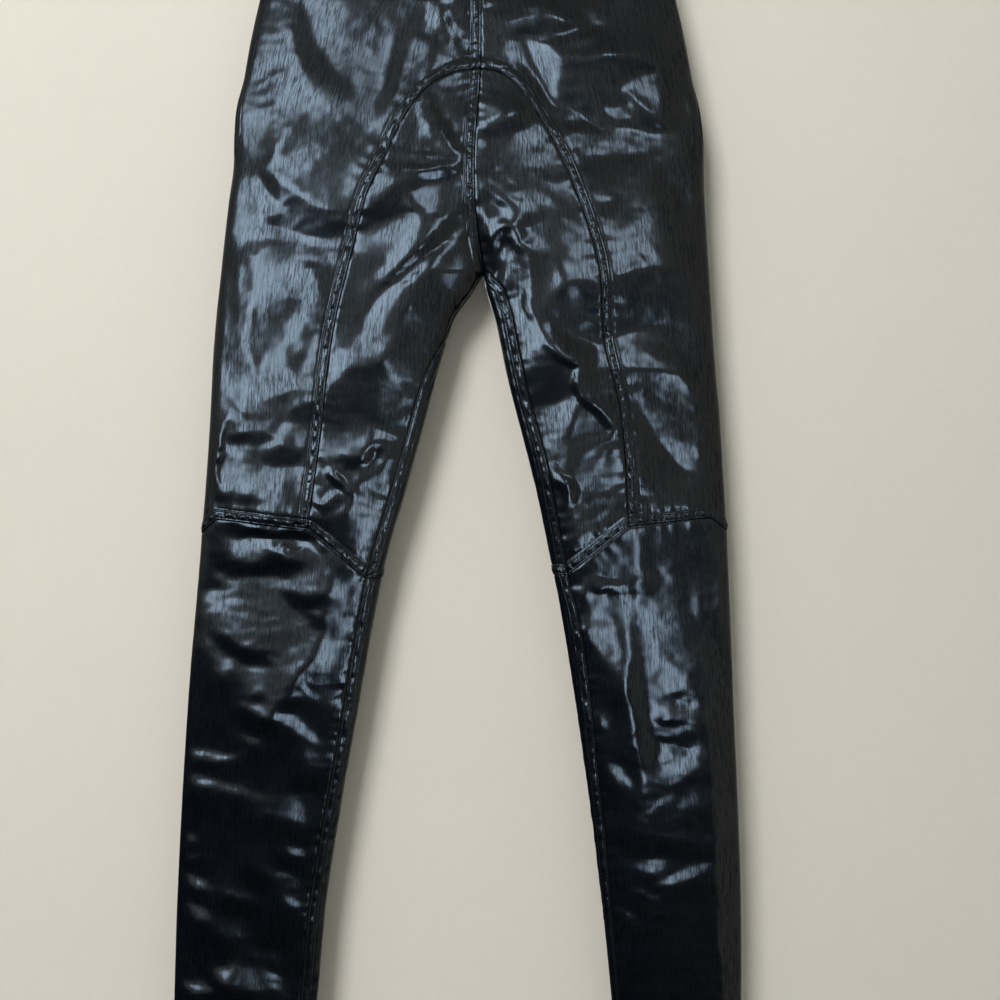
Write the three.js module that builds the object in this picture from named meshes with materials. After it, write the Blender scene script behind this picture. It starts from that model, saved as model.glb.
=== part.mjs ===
import * as THREE from "three";

// High-rise skinny trousers in a gloss-coated stretch cloth, hanging flat from the waistband.
// Millimetres. +X is to the viewer's right, the front faces -Y and +Z is up. "Left" and "right" are the
// viewer's. The origin is the middle of the waistband's top edge, where the trousers are held.

// Cloth and sewing
const CLOTH = 1.2; // wall of one layer
const SEAM_GAP = 0.3; // between two pieces at a seam
const LAP_WIDTH = 8.5; // lapped seam, from the joint to its second row of stitching
const LAP_RAISE = 0.8; // how far the lapped edge stands over the piece that it joins
const LAP_SLOPE = 2.5; // width of the step down from the lap to the plain panel

// Garment sizes
const BAND_HEIGHT = 38;
const BAND_WALL = 2.2; // the waistband is cloth folded double
const HEM_Z = -1052;
const HEM_TURN_UP = 14;
const CROTCH = { x: 15, z: -305, curve: 42 }; // curve: height over which the centre seam turns under
const FLY_EDGE_X = 13; // the fly's overlapping edge at the waist
const PANEL_TOP_Z = -BAND_HEIGHT - SEAM_GAP;

// Cross-section of the flattened tube
const EDGE_RADIUS = 5.5; // roll of the cloth at a side edge
const SHOULDER = 52; // distance from an edge at which the tube reaches its full depth
const FOLD_FADE = 20; // folds die away within this distance of an edge

// Outer edges of the hanging shape, from waist to hem
const OUTER_EDGE = [
  { z: 0, left: -179, right: 180 },
  { z: -57, left: -194, right: 195 },
  { z: -94, left: -202, right: 203 },
  { z: -126, left: -208, right: 209 },
  { z: -154, left: -215, right: 216 },
  { z: -181, left: -217, right: 219.5 },
  { z: -209, left: -217.5, right: 220 },
  { z: -241, left: -222, right: 221 },
  { z: -305, left: -229, right: 225 },
  { z: -370, left: -235.5, right: 229 },
  { z: -453, left: -240, right: 235.5 },
  { z: -563, left: -248, right: 242 },
  { z: -701, left: -259.5, right: 247.5 },
  { z: -885, left: -269.5, right: 254.5 },
  { z: -1052, left: -274, right: 254.5 },
];

// Inner edges of the legs, from the crotch to the hem
const INNER_EDGE = [
  { z: -305, left: 14.2, right: 15.8 },
  { z: -324, left: 4, right: 18 },
  { z: -351, left: -14, right: 26 },
  { z: -407, left: -29.5, right: 38 },
  { z: -453, left: -41.5, right: 50 },
  { z: -508, left: -57, right: 64 },
  { z: -563, left: -73, right: 75.5 },
  { z: -618, left: -85, right: 86.5 },
  { z: -701, left: -99.5, right: 100 },
  { z: -793, left: -116, right: 113 },
  { z: -885, left: -130.5, right: 124.5 },
  { z: -976, left: -139, right: 134 },
  { z: -1052, left: -147, right: 140 },
];

// Half of the tube's thickness, before folds
const HALF_DEPTH = [
  { z: 0, depth: 11 },
  { z: -110, depth: 14 },
  { z: -220, depth: 16.5 },
  { z: -380, depth: 15 },
  { z: -560, depth: 12.5 },
  { z: -800, depth: 11 },
  { z: -1052, depth: 10 },
];

// Centre seams, front and back
const CENTRE_SEAM = [
  { z: 0, front: FLY_EDGE_X, back: 4 },
  { z: -120, front: 12.5, back: 6 },
  { z: -200, front: 7, back: 9 },
  { z: -262, front: 9, back: 12 },
  { z: -305, front: CROTCH.x, back: CROTCH.x },
];

// How far the back of each leg wraps round its inner edge on to the front, up to the inseam
const INSEAM_WRAP = [
  { z: -305, left: 0, right: 0 },
  { z: -333, left: 0, right: 9 },
  { z: -372, left: 1, right: 9 },
  { z: -425, left: 4.5, right: 7 },
  { z: -508, left: 7.5, right: 5.5 },
  { z: -590, left: 9, right: 5 },
  { z: -740, left: 7.5, right: 4 },
  { z: -900, left: 5, right: 3.5 },
  { z: -1052, left: 4, right: 3.5 },
];

// Side pockets in the side seams. gape: how far the front edge has drawn in from the back edge
const POCKET = { top: -50, bottom: -203, bagDepth: 42, bagSink: 3.2 };
const POCKET_GAPE = [
  { z: -50, left: 0, right: 0 },
  { z: -118, left: 1.5, right: 1 },
  { z: -138, left: 6, right: 3 },
  { z: -168, left: 10.5, right: 5.5 },
  { z: -190, left: 6.5, right: 3.5 },
  { z: -203, left: 0, right: 0 },
];

// The arched seam from the centre front down to the knee seam, as seen from the front
const ARCH_TOP = { x: 12.5, z: -119.5 };
const ARCH_SEAM = {
  left: [
    [12.5, -119.5],
    [-8.5, -122.5],
    [-30, -133],
    [-49, -152],
    [-70.5, -191],
    [-90, -233],
    [-109, -303],
    [-124, -368],
    [-133, -442],
    [-147, -545],
  ],
  right: [
    [12.5, -119.5],
    [29.5, -123],
    [44, -133],
    [57, -150],
    [78.5, -184],
    [96, -222.5],
    [120, -295],
    [126, -368],
    [142, -442],
    [149, -541],
  ],
};
const ARCH_CORNER = 0.13; // share of the arch that forms the top of the inner panel

// Knee seam on the front, from the side seam to the inseam
const KNEE_SEAM = {
  left: [
    [-248, -547.5],
    [-231, -534.5],
    [-147, -545],
    [-98, -589],
  ],
  right: [
    [242, -545],
    [224.5, -533],
    [149, -541],
    [97, -586],
  ],
};
const KNEE_BACK_DIP = -14; // the knee seam's sag across the back

const SIDES = ["left", "right"];

// Folds, as ridges (height above 0) and troughs (below 0) along a line of points seen from the front.
// The height and the half-width are at the middle of the line, and both ends run out to nothing.
const FRONT_FOLDS = [
  { name: "hip smile, left", height: -6, half: 15, line: [[-188, -215], [-145, -245], [-106, -263], [-55, -252], [-12, -222]] },
  { name: "ridge over the smile", height: 3.5, half: 17, line: [[-190, -190], [-145, -212], [-100, -222], [-62, -212]] },
  { name: "curl beside the centre", height: 4, half: 8, line: [[-40, -140], [-22, -176], [-8, -200], [-44, -207], [-66, -212]] },
  { name: "drag from the crotch, left", height: 4, half: 12, line: [[-6, -268], [-46, -300], [-96, -340], [-118, -366]] },
  { name: "trough under that drag", height: -4, half: 13, line: [[-22, -330], [-58, -350], [-96, -372], [-128, -440]] },
  { name: "ridge above the knee, left", height: 3, half: 14, line: [[-40, -404], [-84, -440], [-132, -470], [-168, -486]] },
  { name: "side dimple, left", height: -3, half: 8, line: [[-222, -458], [-198, -461], [-174, -462]] },
  { name: "side dimple, knee left", height: -3, half: 7, line: [[-218, -511], [-200, -514], [-186, -518]] },
  { name: "hip hollow, right", height: -4, half: 20, line: [[60, -120], [100, -140], [160, -160]] },
  { name: "hip roll, right", height: 5, half: 13, line: [[18, -206], [60, -190], [110, -188], [170, -190], [206, -168]] },
  { name: "trough under the roll", height: -4.5, half: 12, line: [[18, -222], [62, -218], [118, -216], [168, -224]] },
  { name: "crotch pull, right", height: 3.5, half: 11, line: [[24, -234], [70, -246], [104, -276]] },
  { name: "long overlap, right thigh", height: 6, half: 10, line: [[54, -290], [62, -342], [90, -385], [104, -412], [128, -438], [136, -462]] },
  { name: "shadow beside the overlap", height: -6, half: 10, line: [[40, -300], [46, -352], [72, -394], [90, -428], [108, -452]] },
  { name: "oval on the thigh, right", height: 3.5, half: 12, line: [[146, -370], [170, -412], [196, -458], [206, -486]] },
  { name: "bowl above the knee, right", height: 3.5, half: 12, line: [[74, -430], [80, -476], [100, -510], [140, -528]] },
  { name: "tuck under the knee seam, left", height: -4, half: 8, line: [[-196, -548], [-166, -554], [-140, -552]] },
  { name: "tuck under the knee seam, right", height: -4, half: 9, line: [[120, -560], [156, -560], [196, -578]] },
  { name: "ridge down the shin, right", height: 3, half: 11, line: [[146, -618], [158, -700], [172, -786]] },
  { name: "hollow down the shin, right", height: -3.5, half: 13, line: [[128, -640], [138, -720], [150, -790]] },
  { name: "calf wave, left, first", height: 3, half: 10, line: [[-252, -752], [-205, -748], [-160, -762], [-128, -782]] },
  { name: "calf wave, left, second", height: 3, half: 9, line: [[-254, -812], [-215, -808], [-165, -822], [-132, -818]] },
  { name: "calf wave, left, third", height: 3, half: 9, line: [[-262, -868], [-214, -876], [-160, -884]] },
  { name: "calf wave, left, fourth", height: 2.8, half: 9, line: [[-262, -930], [-215, -926], [-152, -944]] },
  { name: "hem wave, left", height: 2.8, half: 10, line: [[-260, -996], [-212, -990], [-166, -1004]] },
  { name: "calf wave, right, first", height: 2.8, half: 9, line: [[150, -886], [188, -878], [232, -862]] },
  { name: "calf wave, right, second", height: 2.8, half: 9, line: [[134, -934], [168, -946], [214, -940]] },
];
const BACK_FOLDS = [
  { name: "seat drag, left", height: 4, half: 15, line: [[-30, -262], [-86, -250], [-150, -222]] },
  { name: "seat drag, right", height: 4, half: 15, line: [[40, -262], [96, -248], [158, -228]] },
  { name: "seat hollow, left", height: -4.5, half: 13, line: [[-44, -286], [-100, -288], [-160, -262]] },
  { name: "seat hollow, right", height: -4.5, half: 13, line: [[58, -288], [112, -290], [170, -270]] },
  { name: "thigh ridge, left", height: 3.5, half: 14, line: [[-60, -330], [-110, -370], [-140, -440]] },
  { name: "thigh ridge, right", height: 3.5, half: 14, line: [[70, -336], [120, -378], [158, -450]] },
  { name: "knee hollow, left", height: -4, half: 10, line: [[-112, -520], [-160, -534], [-214, -526]] },
  { name: "knee hollow, right", height: -4, half: 10, line: [[106, -524], [156, -538], [210, -528]] },
  { name: "knee roll, left", height: 3.5, half: 10, line: [[-116, -616], [-168, -626], [-224, -614]] },
  { name: "knee roll, right", height: 3.5, half: 10, line: [[112, -618], [160, -630], [212, -620]] },
  { name: "calf wave, left", height: 3, half: 10, line: [[-146, -760], [-190, -774], [-240, -762]] },
  { name: "calf wave, right", height: 3, half: 10, line: [[140, -768], [182, -780], [228, -770]] },
  { name: "ankle wave, left", height: 3, half: 10, line: [[-162, -900], [-206, -912], [-250, -900]] },
  { name: "ankle wave, right", height: 3, half: 10, line: [[150, -908], [190, -918], [234, -906]] },
];

const CLOTH_COLOUR = { color: 0x0b0d12, roughness: 0.3, metalness: 0.0 };
const BUTTON_COLOUR = { color: 0x3a3b3f, roughness: 0.35, metalness: 0.9 };

const mix = THREE.MathUtils.lerp;
const clamp = THREE.MathUtils.clamp;
const rise = (x) => Math.sin((Math.PI / 2) * clamp(x, 0, 1));
const smooth = (x) => THREE.MathUtils.smoothstep(x, 0, 1);

// A smooth function of z through one column of a table whose rows run downwards.
function downTable(rows, column) {
  const slope = (i) => {
    const a = rows[Math.max(i - 1, 0)];
    const b = rows[Math.min(i + 1, rows.length - 1)];
    return (b[column] - a[column]) / (b.z - a.z);
  };
  return (z) => {
    let i = rows.findIndex((row) => row.z <= z);
    if (i === 0) return rows[0][column];
    if (i < 0) return rows[rows.length - 1][column];
    const a = rows[i - 1];
    const b = rows[i];
    const h = b.z - a.z;
    const t = (z - a.z) / h;
    return (
      a[column] * (1 + 2 * t) * (1 - t) ** 2 +
      b[column] * t * t * (3 - 2 * t) +
      h * t * (1 - t) * (slope(i - 1) * (1 - t) - slope(i) * t)
    );
  };
}

const bySide = (rows) => ({ left: downTable(rows, "left"), right: downTable(rows, "right") });
const outerEdge = bySide(OUTER_EDGE);
const innerEdge = bySide(INNER_EDGE);
const inseamWrap = bySide(INSEAM_WRAP);
const pocketGape = bySide(POCKET_GAPE);
const halfDepth = downTable(HALF_DEPTH, "depth");
const centreSeam = { front: downTable(CENTRE_SEAM, "front"), back: downTable(CENTRE_SEAM, "back") };

// How far the tube has closed at its inner side: 0 across the hips, 1 from the crotch down.
function closedAt(z) {
  const k = clamp((CROTCH.z + CROTCH.curve - z) / CROTCH.curve, 0, 1);
  return 1 - Math.sqrt(1 - k * k);
}

// The half-section at one height: u is measured along the cloth from the outer edge.
function sectionAt(side, face, z) {
  const outer = outerEdge[side](z);
  const inner = z > CROTCH.z ? centreSeam[face](z) : innerEdge[side](z);
  const closed = closedAt(z);
  const outerArc = (EDGE_RADIUS * Math.PI) / 2;
  const innerArc = EDGE_RADIUS * mix(1, Math.PI / 2, closed);
  const width = Math.abs(inner - outer);
  return { outer, closed, outerArc, innerArc, width, span: width - 2 * EDGE_RADIUS + outerArc + innerArc };
}

const spanAt = (side, face, z) => sectionAt(side, face, z).span;

// The place along the cloth of a point seen at x from the front.
function clothPlace(side, face, x, z) {
  const { outer, outerArc, innerArc, width, span } = sectionAt(side, face, z);
  const fromOuter = clamp(Math.abs(x - outer), 0, width);
  const fromInner = width - fromOuter;
  if (fromOuter < EDGE_RADIUS) return EDGE_RADIUS * Math.acos(1 - fromOuter / EDGE_RADIUS);
  if (fromInner < EDGE_RADIUS) return span - (innerArc * Math.acos(1 - fromInner / EDGE_RADIUS)) / (Math.PI / 2);
  return outerArc + fromOuter - EDGE_RADIUS;
}

// Distance from a point to a line of points, with how far along the line it falls, 0 to 1.
function nearLine(x, z, line) {
  let best = { distance: Infinity, along: 0 };
  for (let i = 1; i < line.length; i++) {
    const [ax, az] = line[i - 1];
    const [bx, bz] = line[i];
    const lengthSquared = (bx - ax) ** 2 + (bz - az) ** 2;
    const t = clamp(((x - ax) * (bx - ax) + (z - az) * (bz - az)) / lengthSquared, 0, 1);
    const distance = Math.hypot(x - mix(ax, bx, t), z - mix(az, bz, t));
    if (distance < best.distance) best = { distance, along: (i - 1 + t) / (line.length - 1) };
  }
  return best;
}

function foldHeight(face, x, z) {
  let sum = 0;
  for (const fold of face === "front" ? FRONT_FOLDS : BACK_FOLDS) {
    const { distance, along } = nearLine(x, z, fold.line);
    const across = distance / (2 * fold.half);
    if (across < 1) sum += fold.height * (1 - smooth(across)) * Math.sin(Math.PI * mix(0.08, 0.92, along)) ** 0.7;
  }
  return sum;
}

// The outer surface: the point at u along the cloth of one face of one side, at height z.
function surface(side, face, u, z) {
  const here = sectionAt(side, face, z);
  if (u < 0) return surface(side, otherFace(face), -u, z);
  if (u > here.span && here.closed === 1) return surface(side, otherFace(face), 2 * here.span - u, z);
  const { outer, closed, outerArc, innerArc, width, span } = here;
  const outerTurn = (clamp(u / outerArc, 0, 1) * Math.PI) / 2;
  const innerShare = clamp((span - u) / innerArc, 0, 1);
  const innerTurn = (innerShare * Math.PI) / 2;
  const fromRoll = span - u < innerArc ? EDGE_RADIUS * mix(innerShare, 1 - Math.cos(innerTurn), closed) : EDGE_RADIUS + span - u - innerArc;
  const fromInner = fromRoll - Math.max(u - span, 0);
  const fromOuter = u < outerArc ? EDGE_RADIUS * (1 - Math.cos(outerTurn)) : width - fromInner;
  const roll = EDGE_RADIUS * Math.sin(outerTurn) * mix(1, Math.sin(innerTurn), closed);
  const swell = (halfDepth(z) - EDGE_RADIUS) * rise(fromOuter / SHOULDER) * mix(1, rise(fromInner / SHOULDER), closed);
  const x = outer + (side === "left" ? fromOuter : -fromOuter);
  const fade = smooth(fromOuter / FOLD_FADE) * mix(1, smooth(fromInner / FOLD_FADE), closed);
  const depth = roll + swell + fade * foldHeight(face, x, z);
  return new THREE.Vector3(x, face === "front" ? -depth : depth, z);
}

const otherFace = (face) => (face === "front" ? "back" : "front");

// Outward normal of that surface, from neighbouring points of the same face.
function outwardNormal(side, face, u, z) {
  const { span, closed } = sectionAt(side, face, z);
  if (u < 0) return outwardNormal(side, otherFace(face), -u, z);
  if (u > span && closed === 1) return outwardNormal(side, otherFace(face), 2 * span - u, z);
  const step = 0.6;
  const across = surface(side, face, Math.min(u + step, span), z).sub(surface(side, face, Math.max(u - step, 0), z));
  const up = surface(side, face, u, z + step).sub(surface(side, face, u, z - step));
  const turned = (side === "left") === (face === "front") ? 1 : -1;
  return across.cross(up).multiplyScalar(turned).normalize();
}

// A wall between an outer and an inner layer of points, closed along its four edges.
// outside and inside give a point for column i and row j.
function wallGeometry(columns, rows, outside, inside, flip) {
  const points = [];
  const layer = [];
  for (const pointAt of [outside, inside]) {
    const start = points.length / 3;
    for (let j = 0; j <= rows; j++) for (let i = 0; i <= columns; i++) points.push(...pointAt(i, j).toArray());
    layer.push((i, j) => start + j * (columns + 1) + i);
  }
  const [out, inn] = layer;
  const triangles = [];
  const quad = (a, b, c, d) => triangles.push(...(flip ? [a, c, b, a, d, c] : [a, b, c, a, c, d]));
  for (let j = 0; j < rows; j++) {
    for (let i = 0; i < columns; i++) {
      quad(out(i, j), out(i, j + 1), out(i + 1, j + 1), out(i + 1, j));
      quad(inn(i, j), inn(i + 1, j), inn(i + 1, j + 1), inn(i, j + 1));
    }
    quad(out(0, j), inn(0, j), inn(0, j + 1), out(0, j + 1));
    quad(out(columns, j), out(columns, j + 1), inn(columns, j + 1), inn(columns, j));
  }
  for (let i = 0; i < columns; i++) {
    quad(out(i, 0), out(i + 1, 0), inn(i + 1, 0), inn(i, 0));
    quad(out(i, rows), inn(i, rows), inn(i + 1, rows), out(i + 1, rows));
  }
  const geometry = new THREE.BufferGeometry();
  geometry.setAttribute("position", new THREE.Float32BufferAttribute(points, 3));
  geometry.setIndex(triangles);
  geometry.computeVertexNormals();
  return geometry;
}

function pieceOf(name, geometry, colour = CLOTH_COLOUR) {
  const mesh = new THREE.Mesh(geometry, new THREE.MeshStandardMaterial(colour));
  mesh.name = name;
  return mesh;
}

// Lines on the flattened cloth, whose points are (u, z). at(share) travels evenly along one from 0 to 1.
const lineOf = (curve, from = 0, to = 1) => ({
  at: (share) => curve.getPointAt(mix(from, to, share)),
  length: curve.getLength() * Math.abs(to - from),
});

const smoothCurve = (points) => new THREE.SplineCurve(points);

function cornered(points) {
  const path = new THREE.CurvePath();
  for (let i = 1; i < points.length; i++) path.add(new THREE.LineCurve(points[i - 1], points[i]));
  return path;
}

// Points seen from the front at (x, z), laid on to the cloth.
const laidOn = (side, face, points) => points.map(([x, z]) => new THREE.Vector2(clothPlace(side, face, x, z), z));

// A line down the cloth whose place along the cloth is a function of z.
function downLine(placeAt, top, bottom) {
  const steps = Math.max(2, Math.round(Math.abs(top - bottom) / 24));
  const points = Array.from({ length: steps + 1 }, (_, k) => mix(top, bottom, k / steps)).map((z) => new THREE.Vector2(placeAt(z), z));
  return lineOf(smoothCurve(points));
}

const levelLine = (from, to, z) => lineOf(new THREE.LineCurve(new THREE.Vector2(from, z), new THREE.Vector2(to, z)));

function joined(first, second) {
  const length = first.length + second.length;
  const turn = first.length / length;
  return { length, turn, at: (share) => (share < turn ? first.at(share / turn) : second.at((share - turn) / (1 - turn))) };
}

// Shares along a length: given distances from either end, and even ones between them.
function sharesAlong(cells, length, fromStart = [0], fromEnd = [0]) {
  const room = fromStart[fromStart.length - 1] + fromEnd[fromEnd.length - 1] + 12;
  const whole = Math.max(length, room);
  const start = fromStart.map((distance) => distance / whole);
  const end = fromEnd.map((distance) => 1 - distance / whole).reverse();
  const between = cells - start.length - end.length + 2;
  const middle = Array.from({ length: between - 1 }, (_, k) => mix(start[start.length - 1], end[0], (k + 1) / between));
  return [...start, ...middle, ...end];
}

// Distances from an edge that a panel's cells follow there.
const LAPPED = [0, LAP_WIDTH, LAP_WIDTH + LAP_SLOPE];
const ROLLED = [0, 4.3, 8.7];
const WRAPPED = [0, 4, 8, 12.5, 17];

// How far a panel's outside stands up at a point of the flattened cloth: laps lists the lines it is lapped along.
function lapRaise(point, laps) {
  let nearest = Infinity;
  for (const lap of laps) for (const q of lap) nearest = Math.min(nearest, q.distanceTo(point));
  return LAP_RAISE * (1 - smooth((nearest - LAP_WIDTH - 0.4) / (LAP_SLOPE - 0.8)));
}

const closePoints = (line) => Array.from({ length: Math.ceil(line.length / 1.5) + 1 }, (_, k, all) => line.at(Math.min(1, (k * 1.5) / line.length)));

// One cut panel of cloth between four lines, whose outer and inner lines run down and the others run inwards.
// rows gives its shares down, columnsAt(length) its shares across a row of that length.
function panel(name, side, face, { top, bottom, outer, inner }, { rows, columnsAt, laps = [] }) {
  const corner = { topOuter: outer.at(0), topInner: inner.at(0), bottomOuter: outer.at(1), bottomInner: inner.at(1) };
  const between = (s, v) => {
    const down = outer.at(v).lerp(inner.at(v), s);
    const over = top.at(s).lerp(bottom.at(s), v);
    const twist = corner.topOuter.clone().lerp(corner.topInner, s).lerp(corner.bottomOuter.clone().lerp(corner.bottomInner, s), v);
    return down.add(over).sub(twist);
  };
  const longer = (line, a, b) => line.length / a.distanceTo(b);
  const topBow = longer(top, corner.topOuter, corner.topInner);
  const bottomBow = longer(bottom, corner.bottomOuter, corner.bottomInner);
  const lastRow = rows.length - 1;
  const grid = rows.map((v) => {
    const length = outer.at(v).distanceTo(inner.at(v)) * mix(topBow, bottomBow, v);
    return columnsAt(length).map((s) => between(s, v));
  });
  const lastColumn = grid[0].length - 1;
  // The edge is drawn back from each seam by half of the gap, square to the seam.
  const drawnBack = grid.map((row, j) =>
    row.map((point, i) => {
      const moved = point.clone();
      const middle = grid[clamp(j, 1, lastRow - 1)][clamp(i, 1, lastColumn - 1)].clone().sub(point);
      const away = (before, after) => {
        const along = after.clone().sub(before).normalize();
        const square = new THREE.Vector2(-along.y, along.x);
        moved.addScaledVector(square, Math.sign(square.dot(middle)) * (SEAM_GAP / 2));
      };
      if (i === 0 || i === lastColumn) away(grid[Math.max(j - 1, 0)][i], grid[Math.min(j + 1, lastRow)][i]);
      if (j === 0 || j === lastRow) away(row[Math.max(i - 1, 0)], row[Math.min(i + 1, lastColumn)]);
      return moved;
    }),
  );
  const lapPoints = laps.map(closePoints);
  const offsetPoint = ({ x: u, y: z }, offset) => surface(side, face, u, z).addScaledVector(outwardNormal(side, face, u, z), offset);
  const outside = (i, j) => offsetPoint(drawnBack[j][i], lapRaise(grid[j][i], lapPoints));
  const inside = (i, j) => offsetPoint(drawnBack[j][i], -CLOTH);
  return pieceOf(name, wallGeometry(lastColumn, lastRow, outside, inside, (side === "left") !== (face === "front")));
}

// The same joint's place on the front and on the back.
const frontInseam = (side) => (z) => spanAt(side, "front", z) - inseamWrap[side](z);
const backInseam = (side) => (z) => spanAt(side, "back", z) + inseamWrap[side](z);
const centreOf = (side, face) => (z) => spanAt(side, face, z);

function frontPanels(side) {
  const lappedAtCentre = side === "left"; // the fly and the centre seam are lapped from this side only
  const [kneeSide, kneePeak, kneeArch, kneeInseam] = laidOn(side, "front", KNEE_SEAM[side]);
  const arch = smoothCurve(laidOn(side, "front", ARCH_SEAM[side]));
  const crotchZ = CROTCH.z;
  const mouth = (z) => pocketGape[side](z);

  // Shared nodes: both panels at the arch, and all three at the knee, have their corners at the same places.
  const archTop = lineOf(arch, ARCH_CORNER, 0);
  const archDown = lineOf(arch, ARCH_CORNER, 1);
  const innerTopShares = sharesAlong(6, archTop.length, [0], LAPPED);
  const archRows = sharesAlong(23, archDown.length, [0], LAPPED);
  const archShares = [...innerTopShares.map((s) => ARCH_CORNER * (1 - s)).reverse(), ...archRows.slice(1).map((q) => mix(ARCH_CORNER, 1, q))];
  const peakAt = kneePeak.distanceTo(kneeSide);

  const flyLine = downLine(centreOf(side, "front"), PANEL_TOP_Z, ARCH_TOP.z);
  const thighInner = joined(flyLine, lineOf(arch));
  const flyRows = 4;
  const thighRows = [
    ...Array.from({ length: flyRows }, (_, k) => (thighInner.turn * k) / flyRows),
    ...archShares.map((t) => mix(thighInner.turn, 1, t)),
  ];
  const kneeOuter = lineOf(cornered([kneeSide, kneePeak, kneeArch]));
  const thigh = panel(
    "front_thigh_" + side,
    side,
    "front",
    {
      top: levelLine(mouth(PANEL_TOP_Z), centreOf(side, "front")(PANEL_TOP_Z), PANEL_TOP_Z),
      bottom: kneeOuter,
      outer: downLine(mouth, PANEL_TOP_Z, kneeSide.y),
      inner: thighInner,
    },
    {
      rows: thighRows,
      columnsAt: (length) => sharesAlong(12, length, [...ROLLED, peakAt], LAPPED),
      laps: [...(lappedAtCentre ? [flyLine] : []), lineOf(arch), kneeOuter],
    },
  );

  const centreLine = downLine(centreOf(side, "front"), ARCH_TOP.z, crotchZ);
  const inseamAbove = downLine(frontInseam(side), crotchZ, kneeInseam.y);
  const kneeInner = lineOf(cornered([kneeArch, kneeInseam]));
  const inner = panel(
    "front_inner_" + side,
    side,
    "front",
    { top: archTop, bottom: kneeInner, outer: archDown, inner: joined(centreLine, inseamAbove) },
    {
      rows: archRows,
      columnsAt: (length) => sharesAlong(6, length, [0], LAPPED),
      laps: [...(lappedAtCentre ? [centreLine] : []), inseamAbove, kneeInner],
    },
  );

  const kneeWhole = lineOf(cornered([kneeSide, kneePeak, kneeArch, kneeInseam]));
  const archShare = kneeOuter.length / kneeWhole.length;
  const inseamBelow = downLine(frontInseam(side), kneeInseam.y, HEM_Z);
  const shinColumns = (length) => [
    ...sharesAlong(6, length * archShare, [...ROLLED, peakAt]).map((s) => s * archShare),
    ...sharesAlong(4, length * (1 - archShare), [0], LAPPED).slice(1).map((s) => mix(archShare, 1, s)),
  ];
  const shin = panel(
    "front_shin_" + side,
    side,
    "front",
    {
      top: kneeWhole,
      bottom: levelLine(0, frontInseam(side)(HEM_Z), HEM_Z),
      outer: downLine(() => 0, kneeSide.y, HEM_Z),
      inner: inseamBelow,
    },
    { rows: sharesAlong(27, Math.abs(HEM_Z - kneeSide.y)), columnsAt: shinColumns, laps: [inseamBelow] },
  );
  return [thigh, inner, shin];
}

function backPanels(side) {
  const sideZ = KNEE_SEAM[side][0][1];
  const inseamZ = KNEE_SEAM[side][3][1];
  const columnsAt = (length) => sharesAlong(12, length, ROLLED, WRAPPED);
  const kneeShares = [0, 0.25, 0.5, 0.75, 1];
  const kneeZ = (share) => mix(sideZ, inseamZ, share) + KNEE_BACK_DIP * Math.sin(Math.PI * share);
  const kneeBack = lineOf(smoothCurve(kneeShares.map((q) => new THREE.Vector2(q * backInseam(side)(inseamZ), kneeZ(q)))));
  const centreLine = downLine(centreOf(side, "back"), PANEL_TOP_Z, CROTCH.z);
  const inseamAbove = downLine(backInseam(side), CROTCH.z, inseamZ);
  const inner = joined(centreLine, inseamAbove);
  const thighRows = [
    ...sharesAlong(11, centreLine.length).map((share) => share * inner.turn),
    ...sharesAlong(13, inseamAbove.length, [0], LAPPED).slice(1).map((share) => mix(inner.turn, 1, share)),
  ];
  const thigh = panel(
    "back_thigh_" + side,
    side,
    "back",
    {
      top: levelLine(0, centreOf(side, "back")(PANEL_TOP_Z), PANEL_TOP_Z),
      bottom: kneeBack,
      outer: downLine(() => 0, PANEL_TOP_Z, sideZ),
      inner,
    },
    { rows: thighRows, columnsAt, laps: [kneeBack, ...(side === "left" ? [centreLine] : [])] },
  );
  const calf = panel(
    "back_calf_" + side,
    side,
    "back",
    {
      top: kneeBack,
      bottom: levelLine(0, backInseam(side)(HEM_Z), HEM_Z),
      outer: downLine(() => 0, sideZ, HEM_Z),
      inner: downLine(backInseam(side), inseamZ, HEM_Z),
    },
    { rows: sharesAlong(18, Math.abs(HEM_Z - sideZ)), columnsAt },
  );
  return [thigh, calf];
}

// The turned-up cloth inside each leg's end: a closed ring, one layer behind the panels.
function hemTurnUp(side) {
  const around = 36;
  const rows = 1;
  const gapToPanels = CLOTH + SEAM_GAP + 0.7;
  const pointOn = (i, j, offset) => {
    const z = HEM_Z + SEAM_GAP + (j / rows) * HEM_TURN_UP;
    const share = ((i % around) / around) * 2;
    const face = share < 1 ? "front" : "back";
    const u = (share < 1 ? share : 2 - share) * spanAt(side, face, z);
    return surface(side, face, u, z).addScaledVector(outwardNormal(side, face, u, z), -offset);
  };
  const outer = (i, j) => pointOn(i, j, gapToPanels);
  const inner = (i, j) => pointOn(i, j, gapToPanels + CLOTH);
  return pieceOf("hem_" + side, ringGeometry(around, rows, outer, inner, side === "right"));
}

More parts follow.
